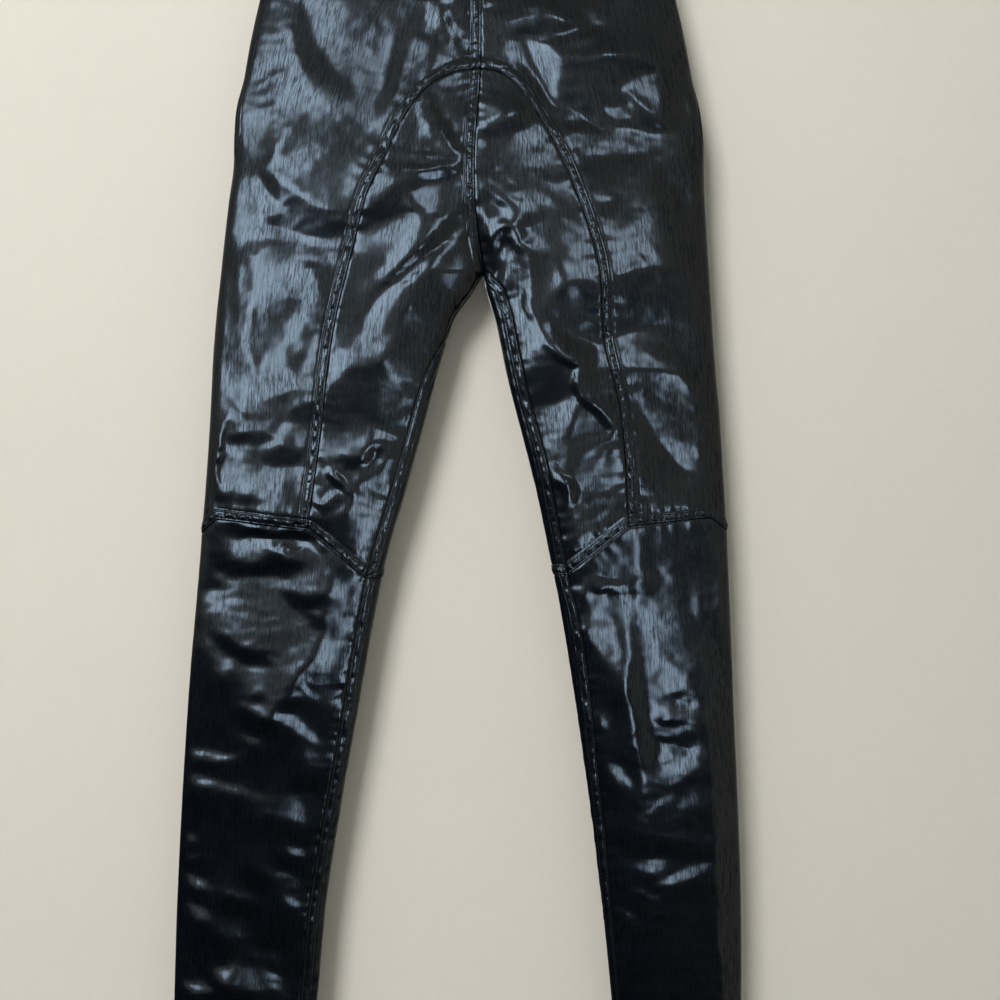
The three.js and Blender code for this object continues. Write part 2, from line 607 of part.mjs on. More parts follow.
// A wall like wallGeometry's whose first and last columns are the same, so that it closes on itself.
function ringGeometry(columns, rows, outside, inside, flip) {
  const points = [];
  for (const pointAt of [outside, inside])
    for (let j = 0; j <= rows; j++) for (let i = 0; i < columns; i++) points.push(...pointAt(i, j).toArray());
  const perLayer = columns * (rows + 1);
  const out = (i, j) => j * columns + (i % columns);
  const inn = (i, j) => perLayer + out(i, j);
  const triangles = [];
  const quad = (a, b, c, d) => triangles.push(...(flip ? [a, c, b, a, d, c] : [a, b, c, a, c, d]));
  for (let i = 0; i < columns; i++) {
    for (let j = 0; j < rows; j++) {
      quad(out(i, j), out(i + 1, j), out(i + 1, j + 1), out(i, j + 1));
      quad(inn(i, j), inn(i, j + 1), inn(i + 1, j + 1), inn(i + 1, j));
    }
    quad(out(i, 0), inn(i, 0), inn(i + 1, 0), out(i + 1, 0));
    quad(out(i, rows), out(i + 1, rows), inn(i + 1, rows), inn(i, rows));
  }
  const geometry = new THREE.BufferGeometry();
  geometry.setAttribute("position", new THREE.Float32BufferAttribute(points, 3));
  geometry.setIndex(triangles);
  geometry.computeVertexNormals();
  return geometry;
}

// The waistband: a folded strip from the fly's edge round the back, whose other end passes under its first.
function waistband() {
  const shares = [0, 0.024, 0.048, 0.15, 0.28, 0.42, 0.56, 0.7, 0.85, 1];
  const underlap = { length: 34, cells: 3, dive: 5 };
  const sunk = BAND_WALL + SEAM_GAP + 0.4;
  const stations = [];
  const run = (side, face, inward) => {
    const ordered = inward ? shares : shares.toReversed();
    for (const share of stations.length ? ordered.slice(1) : ordered) stations.push({ side, face, share, back: 0, sink: 0 });
  };
  run("left", "front", false);
  run("left", "back", true);
  run("right", "back", false);
  run("right", "front", true);
  stations[stations.length - 1].back = underlap.dive;
  stations.push({ side: "right", face: "front", share: 1, back: SEAM_GAP * 2, sink: sunk });
  for (let i = 1; i <= underlap.cells; i++)
    stations.push({ side: "left", face: "front", share: 1, back: (underlap.length * i) / underlap.cells, sink: sunk });
  const pointOn = (i, j, offset) => {
    const { side, face, share, back, sink } = stations[i];
    const z = j === 0 ? -BAND_HEIGHT : 0;
    const u = share * spanAt(side, face, z) - back;
    return surface(side, face, u, z).addScaledVector(outwardNormal(side, face, u, z), offset - sink);
  };
  const outer = (i, j) => pointOn(i, j, BAND_WALL - CLOTH);
  const inner = (i, j) => pointOn(i, j, -CLOTH);
  return pieceOf("waistband", wallGeometry(stations.length - 1, 1, outer, inner, false));
}

// The waist button: a shallow metal cap on a short neck.
function waistButton() {
  const capRadius = 8.5;
  const capHeight = 2.6;
  const neckRadius = 3.5;
  const neckHeight = 1.2;
  const rimHeight = 1.1;
  const profile = [
    [0, 0],
    [neckRadius, 0],
    [neckRadius, neckHeight],
    [capRadius - 0.6, neckHeight],
    [capRadius, neckHeight + 0.5],
    [capRadius, neckHeight + rimHeight],
    [capRadius - 1.6, neckHeight + capHeight - 0.3],
    [capRadius - 2.6, neckHeight + capHeight - 0.7],
    [0, neckHeight + capHeight],
  ].map(([radius, height]) => new THREE.Vector2(radius, height));
  const button = pieceOf("waist_button", new THREE.LatheGeometry(profile, 28), BUTTON_COLOUR);
  const fromFlyEdge = 14;
  const z = -BAND_HEIGHT / 2;
  const u = clothPlace("left", "front", centreSeam.front(z) - fromFlyEdge, z);
  const foot = surface("left", "front", u, z);
  button.position.set(foot.x, foot.y - (BAND_WALL - CLOTH) - SEAM_GAP - 0.2, z);
  button.rotation.x = Math.PI;
  return button;
}

// The pocket's facing, which shows as the dark inside of the gaping mouth.
function pocketFacing(side) {
  const columns = 6;
  const rows = 12;
  const margin = 5;
  const start = 2.2;
  const pointOn = (i, j, extra) => {
    const z = mix(POCKET.top - margin, POCKET.bottom + margin, j / rows);
    const u = mix(start, POCKET.bagDepth, i / columns);
    const sink = CLOTH + 2 * SEAM_GAP + POCKET.bagSink * smooth(u / 16) + extra;
    return surface(side, "front", u, z).addScaledVector(outwardNormal(side, "front", u, z), -sink);
  };
  const outer = (i, j) => pointOn(i, j, 0);
  const inner = (i, j) => pointOn(i, j, CLOTH);
  return pieceOf("pocket_facing_" + side, wallGeometry(columns, rows, outer, inner, side === "right"));
}

const trousers = new THREE.Group();
trousers.add(waistband(), waistButton());
for (const side of SIDES) trousers.add(...frontPanels(side), ...backPanels(side), hemTurnUp(side), pocketFacing(side));

export default trousers;
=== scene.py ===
# %% [markdown]
# # High-rise skinny trousers in gloss-coated stretch cloth
#
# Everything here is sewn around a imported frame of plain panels: each panel is made again as a thin sheet
# with its creases, its lapped seams and its stitches. Sizes in the tables are millimetres, and `MM` turns
# them into Blender's metres. "Left" and "right" are the viewer's, who looks at the front.

# %% The frame
import math
import random

import bmesh
import bpy
import numpy as np
from mathutils import Matrix, Vector, noise
from mathutils.kdtree import KDTree


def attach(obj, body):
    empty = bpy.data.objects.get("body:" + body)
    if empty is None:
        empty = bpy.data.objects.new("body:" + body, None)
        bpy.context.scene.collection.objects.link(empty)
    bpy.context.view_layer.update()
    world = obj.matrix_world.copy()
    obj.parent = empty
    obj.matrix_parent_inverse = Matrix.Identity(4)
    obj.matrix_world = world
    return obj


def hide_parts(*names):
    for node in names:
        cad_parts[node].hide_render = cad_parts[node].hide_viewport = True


MM = 0.001
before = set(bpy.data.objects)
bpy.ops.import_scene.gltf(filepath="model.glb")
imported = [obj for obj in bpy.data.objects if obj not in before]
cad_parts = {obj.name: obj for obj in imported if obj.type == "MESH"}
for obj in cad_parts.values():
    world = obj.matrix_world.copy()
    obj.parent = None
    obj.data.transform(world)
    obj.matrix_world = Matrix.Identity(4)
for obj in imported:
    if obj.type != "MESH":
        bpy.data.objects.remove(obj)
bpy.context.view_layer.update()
random.seed(7)
print("frame nodes:", len(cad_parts))

# %% [markdown]
# ## Camera, lights and room
#
# Glossy cloth shows its surroundings more than itself. A tall window behind the viewer's left shoulder makes
# the bright streaked patches, the dim room makes the smooth olive ones, and a dark floor makes the blacks.
# The wall behind the trousers catches their soft shadow, and is clear when seen from its back.

# %% Camera
AIM = Vector((30.4, 0, -517)) * MM
camera = bpy.data.objects.new("camera", bpy.data.cameras.new("camera"))
bpy.context.collection.objects.link(camera)
CAMERA_DISTANCE = 1.06
PICTURE_WIDTH = 0.92
camera.data.sensor_width = 36
camera.data.lens = 36 * (CAMERA_DISTANCE - 0.012) / PICTURE_WIDTH
camera.location = AIM + Vector((0, -CAMERA_DISTANCE, 0))
camera.rotation_euler = (math.pi / 2, 0, 0)
camera.data.clip_end = 50
bpy.context.scene.camera = camera


# %% Lights
def soft_light(name, place, towards, size, watts, colour):
    """A rectangle of light, size = (width, height), that faces a point."""
    lamp = bpy.data.lights.new(name, "AREA")
    lamp.shape = "RECTANGLE"
    lamp.size, lamp.size_y = size
    lamp.energy = watts
    lamp.color = colour
    lamp_object = bpy.data.objects.new(name, lamp)
    lamp_object.location = place
    lamp_object.rotation_euler = (Vector(towards) - Vector(place)).to_track_quat("-Z", "Y").to_euler()
    lamp_object.visible_camera = False
    bpy.context.collection.objects.link(lamp_object)
    return lamp_object


WINDOW_BLUE = (0.58, 0.78, 1.0)
window = soft_light("window", (-1.42, -3.0, 0.55), (-1.42, 0, 0.55), (1.4, 1.75), 52, WINDOW_BLUE)
high_pane = soft_light("high_pane", (0.45, -3.0, 0.74), (0.45, 0, 0.74), (0.46, 0.62), 5.0, WINDOW_BLUE)
low_pane = soft_light("low_pane", (0.52, -3.0, -1.08), (0.52, 0, -1.08), (0.34, 0.84), 6.0, WINDOW_BLUE)
rear_window = soft_light("rear_window", (-1.42, 3.0, 0.55), (-1.42, 0, 0.55), (1.4, 1.75), 9, (0.8, 0.9, 1.0))
wash = soft_light("wash", (-1.15, -2.4, 1.3), (0, 0.1, -0.5), (1.2, 1.2), 73, (1.0, 0.98, 0.94))
wash.visible_glossy = False
for pane in (window, high_pane, low_pane, rear_window):
    pane.visible_diffuse = False


# %% [markdown]
# ## Shader maths as expressions
#
# A `Value` wraps one socket, and its operators add Math nodes, so a roughness can be written as a formula.
# `Finish` holds one material and makes every other node with one method.

# %% Shader helpers
class Value:
    def __init__(self, finish, socket):
        self.finish, self.socket = finish, socket

    def _math(self, operation, *inputs):
        return self.finish.node("ShaderNodeMath", {"operation": operation}, *inputs)

    def __add__(self, other):
        return self._math("ADD", self, other)

    def __sub__(self, other):
        return self._math("SUBTRACT", self, other)

    def __mul__(self, other):
        return self._math("MULTIPLY", self, other)

    def __pow__(self, other):
        return self._math("POWER", self, other)

    def __rsub__(self, other):
        return self._math("SUBTRACT", other, self)

    __radd__ = __add__
    __rmul__ = __mul__

    def between(self, low, high):
        """0 at low, 1 at high, and smooth between them."""
        settings = {"interpolation_type": "SMOOTHSTEP"}
        return self.finish.node("ShaderNodeMapRange", settings, Value=self, From_Min=low, From_Max=high)


class Finish:
    """One material. node() adds a node: its settings first, then its inputs in order or by name."""

    def __init__(self, name, **fixed):
        self.material = bpy.data.materials.new(name)
        self.material.use_nodes = True
        self.tree = self.material.node_tree
        self.shader = self.tree.nodes["Principled BSDF"]
        self.set(self.shader, **fixed)

    def set(self, node, *inputs, **named):
        pairs = [(node.inputs[i], v) for i, v in enumerate(inputs)]
        pairs += [(node.inputs[k.replace("_", " ")], v) for k, v in named.items()]
        for socket, value in pairs:
            if isinstance(value, Value):
                self.tree.links.new(value.socket, socket)
            elif value is not None:
                socket.default_value = value

    def node(self, kind, settings=None, *inputs, output=0, **named):
        node = self.tree.nodes.new(kind)
        for key, value in (settings or {}).items():
            setattr(node, key, value)
        self.set(node, *inputs, **named)
        return Value(self, node.outputs[output])

    def stretched(self, vector, x, y, z=1.0):
        return self.node("ShaderNodeVectorMath", {"operation": "MULTIPLY"}, vector, (x, y, z))

    def noise(self, vector, detail=2.0, roughness=0.5, distortion=0.0):
        return self.node("ShaderNodeTexNoise", None, Vector=vector, Scale=1.0, Detail=detail,
                         Roughness=roughness, Distortion=distortion)

    def mix(self, factor, a, b):
        node = self.tree.nodes.new("ShaderNodeMix")
        node.data_type = "RGBA"
        for index, value in ((0, factor), (6, a), (7, b)):
            socket = node.inputs[index]
            if isinstance(value, Value):
                self.tree.links.new(value.socket, socket)
            else:
                socket.default_value = value
        return Value(self, node.outputs[2])

    def bump(self, height, distance, strength=1.0):
        return self.node("ShaderNodeBump", None, Strength=strength, Distance=distance, Height=height)

    def shade(self, **linked):
        self.set(self.shader, **linked)
        return self.material


# %% Room
room = bpy.data.worlds.new("room")
bpy.context.scene.world = room
room.use_nodes = True
sky = Finish.__new__(Finish)
sky.tree = room.node_tree
background = sky.tree.nodes["Background"]
direction = sky.node("ShaderNodeTexCoord")
upward = sky.node("ShaderNodeSeparateXYZ", None, direction, output=2)
seen = sky.node("ShaderNodeLightPath")
DARK, OLIVE = (0.009, 0.013, 0.022, 1), (0.25, 0.256, 0.225, 1)
CEILING, PALE = (0.20, 0.21, 0.20, 1), (0.70, 0.68, 0.63, 1)
rightward = sky.node("ShaderNodeSeparateXYZ", None, direction, output=0)
far_right = rightward.between(0.26, 0.33) * upward.between(-0.55, -0.4)
walls = sky.mix(1 - (1 - upward.between(-0.11, -0.01)) * (1 - far_right), DARK, OLIVE)
walls = sky.mix(upward.between(0.45, 0.8), walls, CEILING)
sky.set(background, Color=sky.mix(seen, walls, PALE))
bpy.context.scene.view_settings.view_transform = "Standard"


# %% [markdown]
# ## Wall and floor
#
# Both are only a stage. They are left out of the cloth's reflections, so the room above decides those.

# %% Stage
def stage_plane(name, matrix, size, colour):
    bm = bmesh.new()
    bmesh.ops.create_grid(bm, x_segments=1, y_segments=1, size=size, matrix=matrix)
    mesh = bpy.data.meshes.new(name)
    bm.to_mesh(mesh)
    bm.free()
    plane = bpy.data.objects.new(name, mesh)
    bpy.context.collection.objects.link(plane)
    finish = Finish(name, Roughness=0.9, Specular_IOR_Level=0.15)
    where = finish.node("ShaderNodeTexCoord", output=3)
    mottle = finish.noise(finish.stretched(where, 5, 5, 5), detail=4)
    paler = tuple(min(1, c * 1.05) for c in colour[:3]) + (1,)
    paint = finish.noise(finish.stretched(where, 700, 700, 700), detail=3)
    mesh.materials.append(finish.shade(Base_Color=finish.mix(mottle, colour, paler), Normal=finish.bump(paint, 0.0002)))
    plane.visible_glossy = False
    return plane, finish


wall, wall_finish = stage_plane(
    "wall", Matrix.Translation((0, 0.034, -0.4)) @ Matrix.Rotation(math.pi / 2, 4, "X"), 2.2, (0.80, 0.775, 0.715, 1)
)
wall.visible_shadow = False
wall.visible_diffuse = False
floor, _ = stage_plane("floor", Matrix.Translation((0, 0, -1.2)), 3.0, (0.66, 0.64, 0.61, 1))

# The wall is clear from its back, so that the back of the trousers can be seen.
tree = wall_finish.tree
clear = tree.nodes.new("ShaderNodeBsdfTransparent")
either = tree.nodes.new("ShaderNodeMixShader")
backfacing = tree.nodes.new("ShaderNodeNewGeometry").outputs["Backfacing"]
tree.links.new(backfacing, either.inputs[0])
tree.links.new(wall_finish.shader.outputs[0], either.inputs[1])
tree.links.new(clear.outputs[0], either.inputs[2])
tree.links.new(either.outputs[0], tree.nodes["Material Output"].inputs[0])

# %% [markdown]
# ## The hanging shape
#
# The trousers hang almost flat, so each leg is a flattened tube: a front and a back that roll round at the
# edges. A point of the cloth is named by `u`, its distance along the cloth from the outer edge, and by its
# height `z`. Short tables down the garment give the edges, the depth and the seams.

# %% Tables of the shape
CROTCH_Z, CROTCH_CURVE, HEM_Z, BAND_HEIGHT = -305, 42, -1052, 38
PANEL_TOP_Z = -38.3
EDGE_RADIUS, SHOULDER = 5.5, 52
OUTER_EDGE = [  # (z, left, right)
    (0, -179, 180), (-57, -194, 195), (-94, -202, 203), (-126, -208, 209), (-154, -215, 216),
    (-181, -217, 219.5), (-209, -217.5, 220), (-241, -222, 221), (-305, -229, 225), (-370, -235.5, 229),
    (-453, -240, 235.5), (-563, -248, 242), (-701, -259.5, 247.5), (-885, -269.5, 254.5), (-1052, -274, 254.5),
]
INNER_EDGE = [  # (z, left, right)
    (-305, 15, 15), (-324, 4, 18), (-351, -14, 26), (-407, -29.5, 38), (-453, -41.5, 50), (-508, -57, 64),
    (-563, -73, 75.5), (-618, -85, 86.5), (-701, -99.5, 100), (-793, -116, 113), (-885, -130.5, 124.5),
    (-976, -139, 134), (-1052, -147, 140),
]
HALF_DEPTH = [(0, 11), (-110, 14), (-220, 16.5), (-380, 15), (-560, 12.5), (-800, 11), (-1052, 10)]
CENTRE_SEAM = [(0, 13, 4), (-120, 12.5, 6), (-200, 7, 9), (-262, 9, 12), (-305, 15, 15)]  # (z, front, back)
INSEAM_WRAP = [  # how far the back panel's edge lies in on the front, from the inner edge: (z, left, right)
    (-305, 0, 2), (-313, 0, 10), (-325, 0, 17), (-362, 0.5, 16), (-380, 5, 15.8), (-396, 10, 15.8),
    (-414, 12.3, 15.6), (-480, 13, 16), (-517, 13, 14), (-554, 13.2, 13.2), (-590, 14, 12.8), (-627, 14, 15),
    (-701, 13.3, 14), (-756, 13, 11.5), (-830, 14, 10), (-903, 15, 7.5), (-1052, 15, 6),
]
POCKET_GAPE = [  # how far a pocket's front edge has drawn in: (z, left, right)
    (-50, 0, 0), (-118, 1.5, 1), (-138, 6, 3), (-168, 10.5, 5.5), (-190, 6.5, 3.5), (-203, 0, 0),
]
FRONT, BACK = 1, -1


def down_table(rows, column):
    """A smooth function of z through one column of a table whose rows run downwards."""
    z, values = (np.array([r[k] for r in reversed(rows)], float) for k in (0, column))
    before, after = np.maximum(np.arange(len(z)) - 1, 0), np.minimum(np.arange(len(z)) + 1, len(z) - 1)
    slope = (values[after] - values[before]) / (z[after] - z[before])

    def at(height):
        height = np.clip(np.asarray(height, float), z[0], z[-1])
        i = np.clip(np.searchsorted(z, height) - 1, 0, len(z) - 2)
        h = z[i + 1] - z[i]
        t = (height - z[i]) / h
        ends = values[i] * (1 + 2 * t) * (1 - t) ** 2 + values[i + 1] * t * t * (3 - 2 * t)
        return ends + h * t * (1 - t) * (slope[i] * (1 - t) - slope[i + 1] * t)

    return at


SIDES = {"left": 1, "right": 2}
outer_edge = {s: down_table(OUTER_EDGE, k) for s, k in SIDES.items()}
inner_edge = {s: down_table(INNER_EDGE, k) for s, k in SIDES.items()}
inseam_wrap = {s: down_table(INSEAM_WRAP, k) for s, k in SIDES.items()}
pocket_gape = {s: down_table(POCKET_GAPE, k) for s, k in SIDES.items()}
centre_seam = {FRONT: down_table(CENTRE_SEAM, 1), BACK: down_table(CENTRE_SEAM, 2)}
half_depth = down_table(HALF_DEPTH, 1)


def smooth(t):
    t = np.clip(t, 0, 1)
    return t * t * (3 - 2 * t)


def mix(a, b, t):
    return a + (b - a) * t


def section(side, face, z):
    """The half-section of one leg at height z, as (outer, inner, how far it has closed, width, length)."""
    outer = outer_edge[side](z)
    seam = np.where(np.asarray(face) == FRONT, centre_seam[FRONT](z), centre_seam[BACK](z))
    inner = np.where(z > CROTCH_Z, seam, inner_edge[side](z))
    k = np.clip((CROTCH_Z + CROTCH_CURVE - z) / CROTCH_CURVE, 0, 1)
    closed = 1 - np.sqrt(1 - k * k)
    arcs = EDGE_RADIUS * (math.pi / 2 + mix(1, math.pi / 2, closed))
    width = np.abs(inner - outer)
    return outer, inner, closed, width, width - 2 * EDGE_RADIUS + arcs


def span(side, face, z):
    return section(side, face, np.asarray(z, float))[4]


def cloth_place(side, face, x, z):
    """u of a point that is seen at x."""
    outer, _, closed, width, length = section(side, face, np.asarray(z, float))
    inner_arc = EDGE_RADIUS * mix(1, math.pi / 2, closed)
    from_outer = np.clip(np.abs(x - outer), 0, width)
    from_inner = width - from_outer
    on_roll = EDGE_RADIUS * np.arccos(np.clip(1 - from_outer / EDGE_RADIUS, -1, 1))
    on_inner = length - inner_arc * np.arccos(np.clip(1 - from_inner / EDGE_RADIUS, -1, 1)) / (math.pi / 2)
    flat = EDGE_RADIUS * math.pi / 2 + from_outer - EDGE_RADIUS
    return np.where(from_outer < EDGE_RADIUS, on_roll, np.where(from_inner < EDGE_RADIUS, on_inner, flat))


print("hip width", round(float(outer_edge["right"](-220) - outer_edge["left"](-220))), "mm")

# %% [markdown]
# ## Creases
#
# Each main crease is one row: its height (below 0 for a trough), how wide it is to the left and to the right
# of its line, and a few points of the line as seen from the front. A narrow side and a wide one make the
# roll of real cloth, which falls steeply on one side only. The hidden back gets creases of the same kinds:
# drags from the crotch, hollows under the seat and behind the knees, and rings at the ankles.

# %% Tables of the creases
FRONT_FOLDS = [  # (what, height, width to the left, width to the right, points seen from the front)
    ("curl beside the centre", 3.2, 6, 8, [
        (-40, -147), (-30, -175), (-17, -190), (-6, -201), (-12, -212), (-45, -215)]),
    ("curl: inner lip", 1.0, 4, 6, [(-73, -194), (-53, -201), (-32, -202), (-18, -199)]),
    ("curl: pocket", -1.6, 5, 5, [(-60, -205), (-40, -208), (-18, -206)]),
    ("fly: short ridge", 2.0, 6, 6, [(-29, -63), (-18, -85), (-9, -101)]),
    ("crotch drag 1", 2.6, 9, 7, [(1, -239), (-25, -263), (-60, -297), (-93, -333)]),
    ("crotch hollow 1", -1.8, 6, 6, [(4, -250), (-27, -283), (-62, -316), (-82, -339)]),
    ("crotch drag 2", 2.2, 8, 7, [(4, -261), (-30, -298), (-67, -333), (-89, -362)]),
    ("side sliver", 2.6, 4, 5, [(-220, -439), (-227, -458), (-232, -488), (-229, -510)]),
    ("curl over the knee", 2.6, 4, 4, [(-123, -488), (-121, -497), (-115, -504), (-105, -507)]),
    ("curl: hollow", -3.2, 7, 7, [(-115, -486), (-96, -483), (-76, -473)]),
    ("knee: small lip", 1.8, 4, 4, [(-144, -516), (-130, -522), (-111, -509)]),
    ("right crotch: deep hollow", -1.6, 6, 7, [(14, -232), (27, -247), (42, -265)]),
    ("sharp: overlap edge", 3.8, 12, 3.5, [
        (55, -286), (57, -317), (56, -339), (62, -349), (73, -372), (90, -387), (104, -393), (101, -410),
        (106, -422), (123, -435), (135, -451), (133, -461)]),
    ("sharp: cavity lid", 2.8, 8, 3, [
        (17, -284), (29, -268), (34, -265), (42, -265), (45, -281), (54, -290), (57, -306)]),
    ("sharp: cavity", -5.0, 6, 6, [(23, -322), (29, -296), (36, -276)]),
    ("column: cut 1", -0.8, 4, 4, [(162, -700), (184, -701), (212, -703)]),
    ("column: ridge", 1.0, 5, 4, [(168, -717), (190, -716), (212, -719)]),
    ("column: cut 2", -1.0, 4, 5, [(168, -742), (190, -742), (216, -749)]),
    ("right knee: curve", 3.2, 6, 6, [(75, -486), (86, -503), (97, -523)]),
    ("knee seam: left lip", 2.2, 4, 4, [(-213, -544), (-177, -548), (-145, -547)]),
    ("knee seam: left tuck", -2.0, 5, 5, [(-200, -552), (-167, -556), (-141, -553)]),
    ("left shin: lip", 2.6, 6, 6, [(-192, -559), (-163, -569), (-141, -572)]),
    ("right shin: cross lip", 2.0, 6, 6, [(111, -594), (141, -600), (167, -591)]),
]

BACK_FOLDS = [  # (what, height, width to the left, width to the right, points seen from the front)
    ("seat drag, left", 4.2, 16, 12, [(-26, -262), (-86, -250), (-150, -222), (-196, -186)]),
    ("seat drag, right", 4.0, 12, 17, [(40, -262), (96, -247), (158, -226), (206, -196)]),
    ("seat hollow, left", -4.6, 13, 14, [(-40, -286), (-100, -288), (-164, -262)]),
    ("seat hollow, right", -4.4, 14, 13, [(54, -290), (112, -290), (176, -268)]),
    ("under the seat, left", 3.4, 12, 9, [(-24, -312), (-80, -322), (-140, -306), (-196, -280)]),
    ("under the seat, right", 3.2, 9, 13, [(40, -318), (92, -324), (146, -314), (200, -292)]),
    ("second hollow, left", -3.0, 9, 9, [(-30, -336), (-90, -348), (-160, -330)]),
    ("second hollow, right", -3.0, 9, 9, [(50, -342), (104, -350), (170, -336)]),
    ("hip swell, left", 2.6, 22, 22, [(-60, -60), (-92, -120), (-104, -190)]),
    ("hip swell, right", 2.4, 22, 22, [(64, -66), (100, -118), (112, -186)]),
    ("waist dip, left", -2.2, 12, 12, [(-30, -80), (-70, -96), (-120, -90)]),
    ("waist dip, right", -2.0, 12, 12, [(46, -92), (92, -84), (140, -98)]),
    ("thigh ridge, left", 3.4, 12, 16, [(-52, -350), (-110, -388), (-140, -446)]),
    ("thigh ridge, right", 3.2, 16, 12, [(66, -356), (120, -392), (154, -456)]),
    ("thigh hollow, left", -2.8, 10, 10, [(-76, -384), (-124, -428), (-142, -482)]),
    ("thigh hollow, right", -2.6, 10, 10, [(88, -386), (134, -432), (156, -486)]),
    ("side pull, left", 2.4, 9, 9, [(-220, -384), (-190, -398), (-166, -430)]),
    ("side pull, right", 2.2, 9, 9, [(214, -390), (190, -402), (170, -424)]),
    ("knee hollow 1, left", -3.8, 8, 9, [(-96, -512), (-160, -526), (-226, -514)]),
    ("knee roll 1, left", 3.0, 8, 8, [(-92, -538), (-150, -546), (-214, -538)]),
    ("knee hollow 2, left", -3.4, 8, 8, [(-106, -588), (-168, -598), (-236, -584)]),
    ("knee roll 2, left", 3.2, 9, 8, [(-112, -616), (-170, -628), (-236, -612)]),
    ("knee hollow 3, left", -2.8, 7, 8, [(-112, -648), (-162, -656), (-214, -650)]),
    ("knee hollow 1, right", -3.8, 9, 8, [(86, -516), (152, -530), (220, -518)]),
    ("knee roll 1, right", 3.0, 8, 8, [(92, -542), (150, -550), (206, -544)]),
    ("knee hollow 2, right", -3.4, 8, 8, [(98, -590), (158, -602), (228, -588)]),
    ("knee roll 2, right", 3.2, 8, 9, [(104, -620), (160, -632), (224, -616)]),
    ("knee hollow 3, right", -2.8, 8, 7, [(112, -654), (164, -660), (210, -652)]),
    ("calf swell, left", 2.4, 14, 14, [(-160, -690), (-178, -740), (-190, -790)]),
    ("calf swell, right", 2.4, 14, 14, [(150, -694), (168, -744), (176, -796)]),
    ("ankle 1, left", 2.6, 7, 8, [(-136, -818), (-196, -830), (-256, -816)]),
    ("ankle 2, left", -2.6, 7, 7, [(-142, -846), (-206, -858), (-258, -846)]),
    ("ankle 3, left", 2.4, 7, 7, [(-146, -880), (-204, -890), (-262, -878)]),
    ("ankle 4, left", -2.4, 7, 7, [(-150, -918), (-206, -926), (-250, -920)]),
    ("ankle 5, left", 2.4, 8, 8, [(-150, -954), (-210, -962), (-262, -950)]),
    ("ankle 1, right", 2.6, 8, 7, [(126, -824), (186, -834), (240, -820)]),
    ("ankle 2, right", -2.6, 7, 7, [(132, -852), (188, -864), (240, -850)]),
    ("ankle 3, right", 2.4, 7, 7, [(138, -888), (190, -896), (244, -884)]),
    ("ankle 4, right", -2.4, 7, 7, [(140, -924), (190, -932), (236, -924)]),
    ("ankle 5, right", 2.4, 8, 8, [(142, -960), (192, -966), (246, -956)]),
]

# %% The creases as a height
CREASE_HEIGHT, CREASE_WIDTH = 0.75, 1.0


def drift(x, z, seed):
    """Smooth noise in two directions, which keeps a crease from running too evenly."""
    out = np.empty((2, len(x)))
    for k in range(len(x)):
        px, pz = float(x[k]), float(z[k])
        out[0, k] = 6.0 * noise.noise((px / 30, pz / 26, seed)) + 2.2 * noise.noise((px / 9, pz / 8, seed))
        out[1, k] = 6.0 * noise.noise((px / 30, pz / 26, seed + 7)) + 2.2 * noise.noise((px / 9, pz / 8, seed + 7))
    return out


def crease_heights(face, x, z):
    """Height of all main creases at points seen at (x, z), for arrays of points on one or both faces."""
    total = np.zeros(x.shape)
    face = np.broadcast_to(face, x.shape)
    for which, rows in ((FRONT, FRONT_FOLDS), (BACK, BACK_FOLDS)):
        here = face == which
        if not here.any():
            continue
        moved_x, moved_z = drift(x[here], z[here], 3.0)
        moved_x, moved_z = x[here] + moved_x, z[here] + moved_z
        height_here = np.zeros(moved_x.shape)
        for number, (what, height, to_left, to_right, line) in enumerate(rows):
            points = np.array(line, float)
            reach = 2 * CREASE_WIDTH * max(to_left, to_right)
            low, high = points.min(0) - reach, points.max(0) + reach
            at_x, at_z = (x[here], z[here]) if what.startswith("sharp") else (moved_x, moved_z)
            near = (at_x > low[0]) & (at_x < high[0]) & (at_z > low[1]) & (at_z < high[1])
            if not near.any():
                continue
            px, pz = at_x[near], at_z[near]
            best = np.full(px.shape, 1e9)
            sign, along = np.zeros(px.shape), np.zeros(px.shape)
            for i in range(len(points) - 1):
                a, b = points[i], points[i + 1]
                d = b - a
                t = np.clip(((px - a[0]) * d[0] + (pz - a[1]) * d[1]) / (d @ d), 0, 1)
                ox, oz = px - a[0] - t * d[0], pz - a[1] - t * d[1]
                distance = np.hypot(ox, oz)
                closer = distance < best
                best = np.where(closer, distance, best)
                sign = np.where(closer, d[0] * oz - d[1] * ox, sign)
                along = np.where(closer, (i + t) / (len(points) - 1), along)
            half = CREASE_WIDTH * np.where(sign > 0, to_left, to_right)
            ends = np.sin(math.pi * mix(0.04, 0.96, along)) ** 0.8
            uneven = 0.85 + 0.3 * np.sin(7 * along + 2.3 * number)
            height_here[near] += CREASE_HEIGHT * height * uneven * ends * (1 - smooth(best / (2 * half)))
        total[here] = height_here
    return total


# %% [markdown]
# Between the main creases the cloth is never flat. Smooth noise swells it, and noise folded at its zero line
# gives the short sharp ridges of a coated cloth. Below the knee both are drawn out sideways, because the
# narrow legs crumple in rings.

# %% Crumple
def folded_noise(px, pz, wide, tall, seed, swell, ridge):
    """A swell of noise, with sharp ridges where a second noise crosses zero."""
    wander = 0.5 * noise.noise((px / 21, pz / 19, seed + 3))
    crossing = abs(noise.noise((px / (wide * 0.6) + wander, pz / (tall * 0.6) + wander, seed + 9)))
    strength = 0.5 + noise.noise((px / 70, pz / 60, seed + 21))
    out = swell * noise.noise((px / wide, pz / tall, seed))
    return out + ridge * max(0.38 - crossing, 0) * max(strength, 0.08)


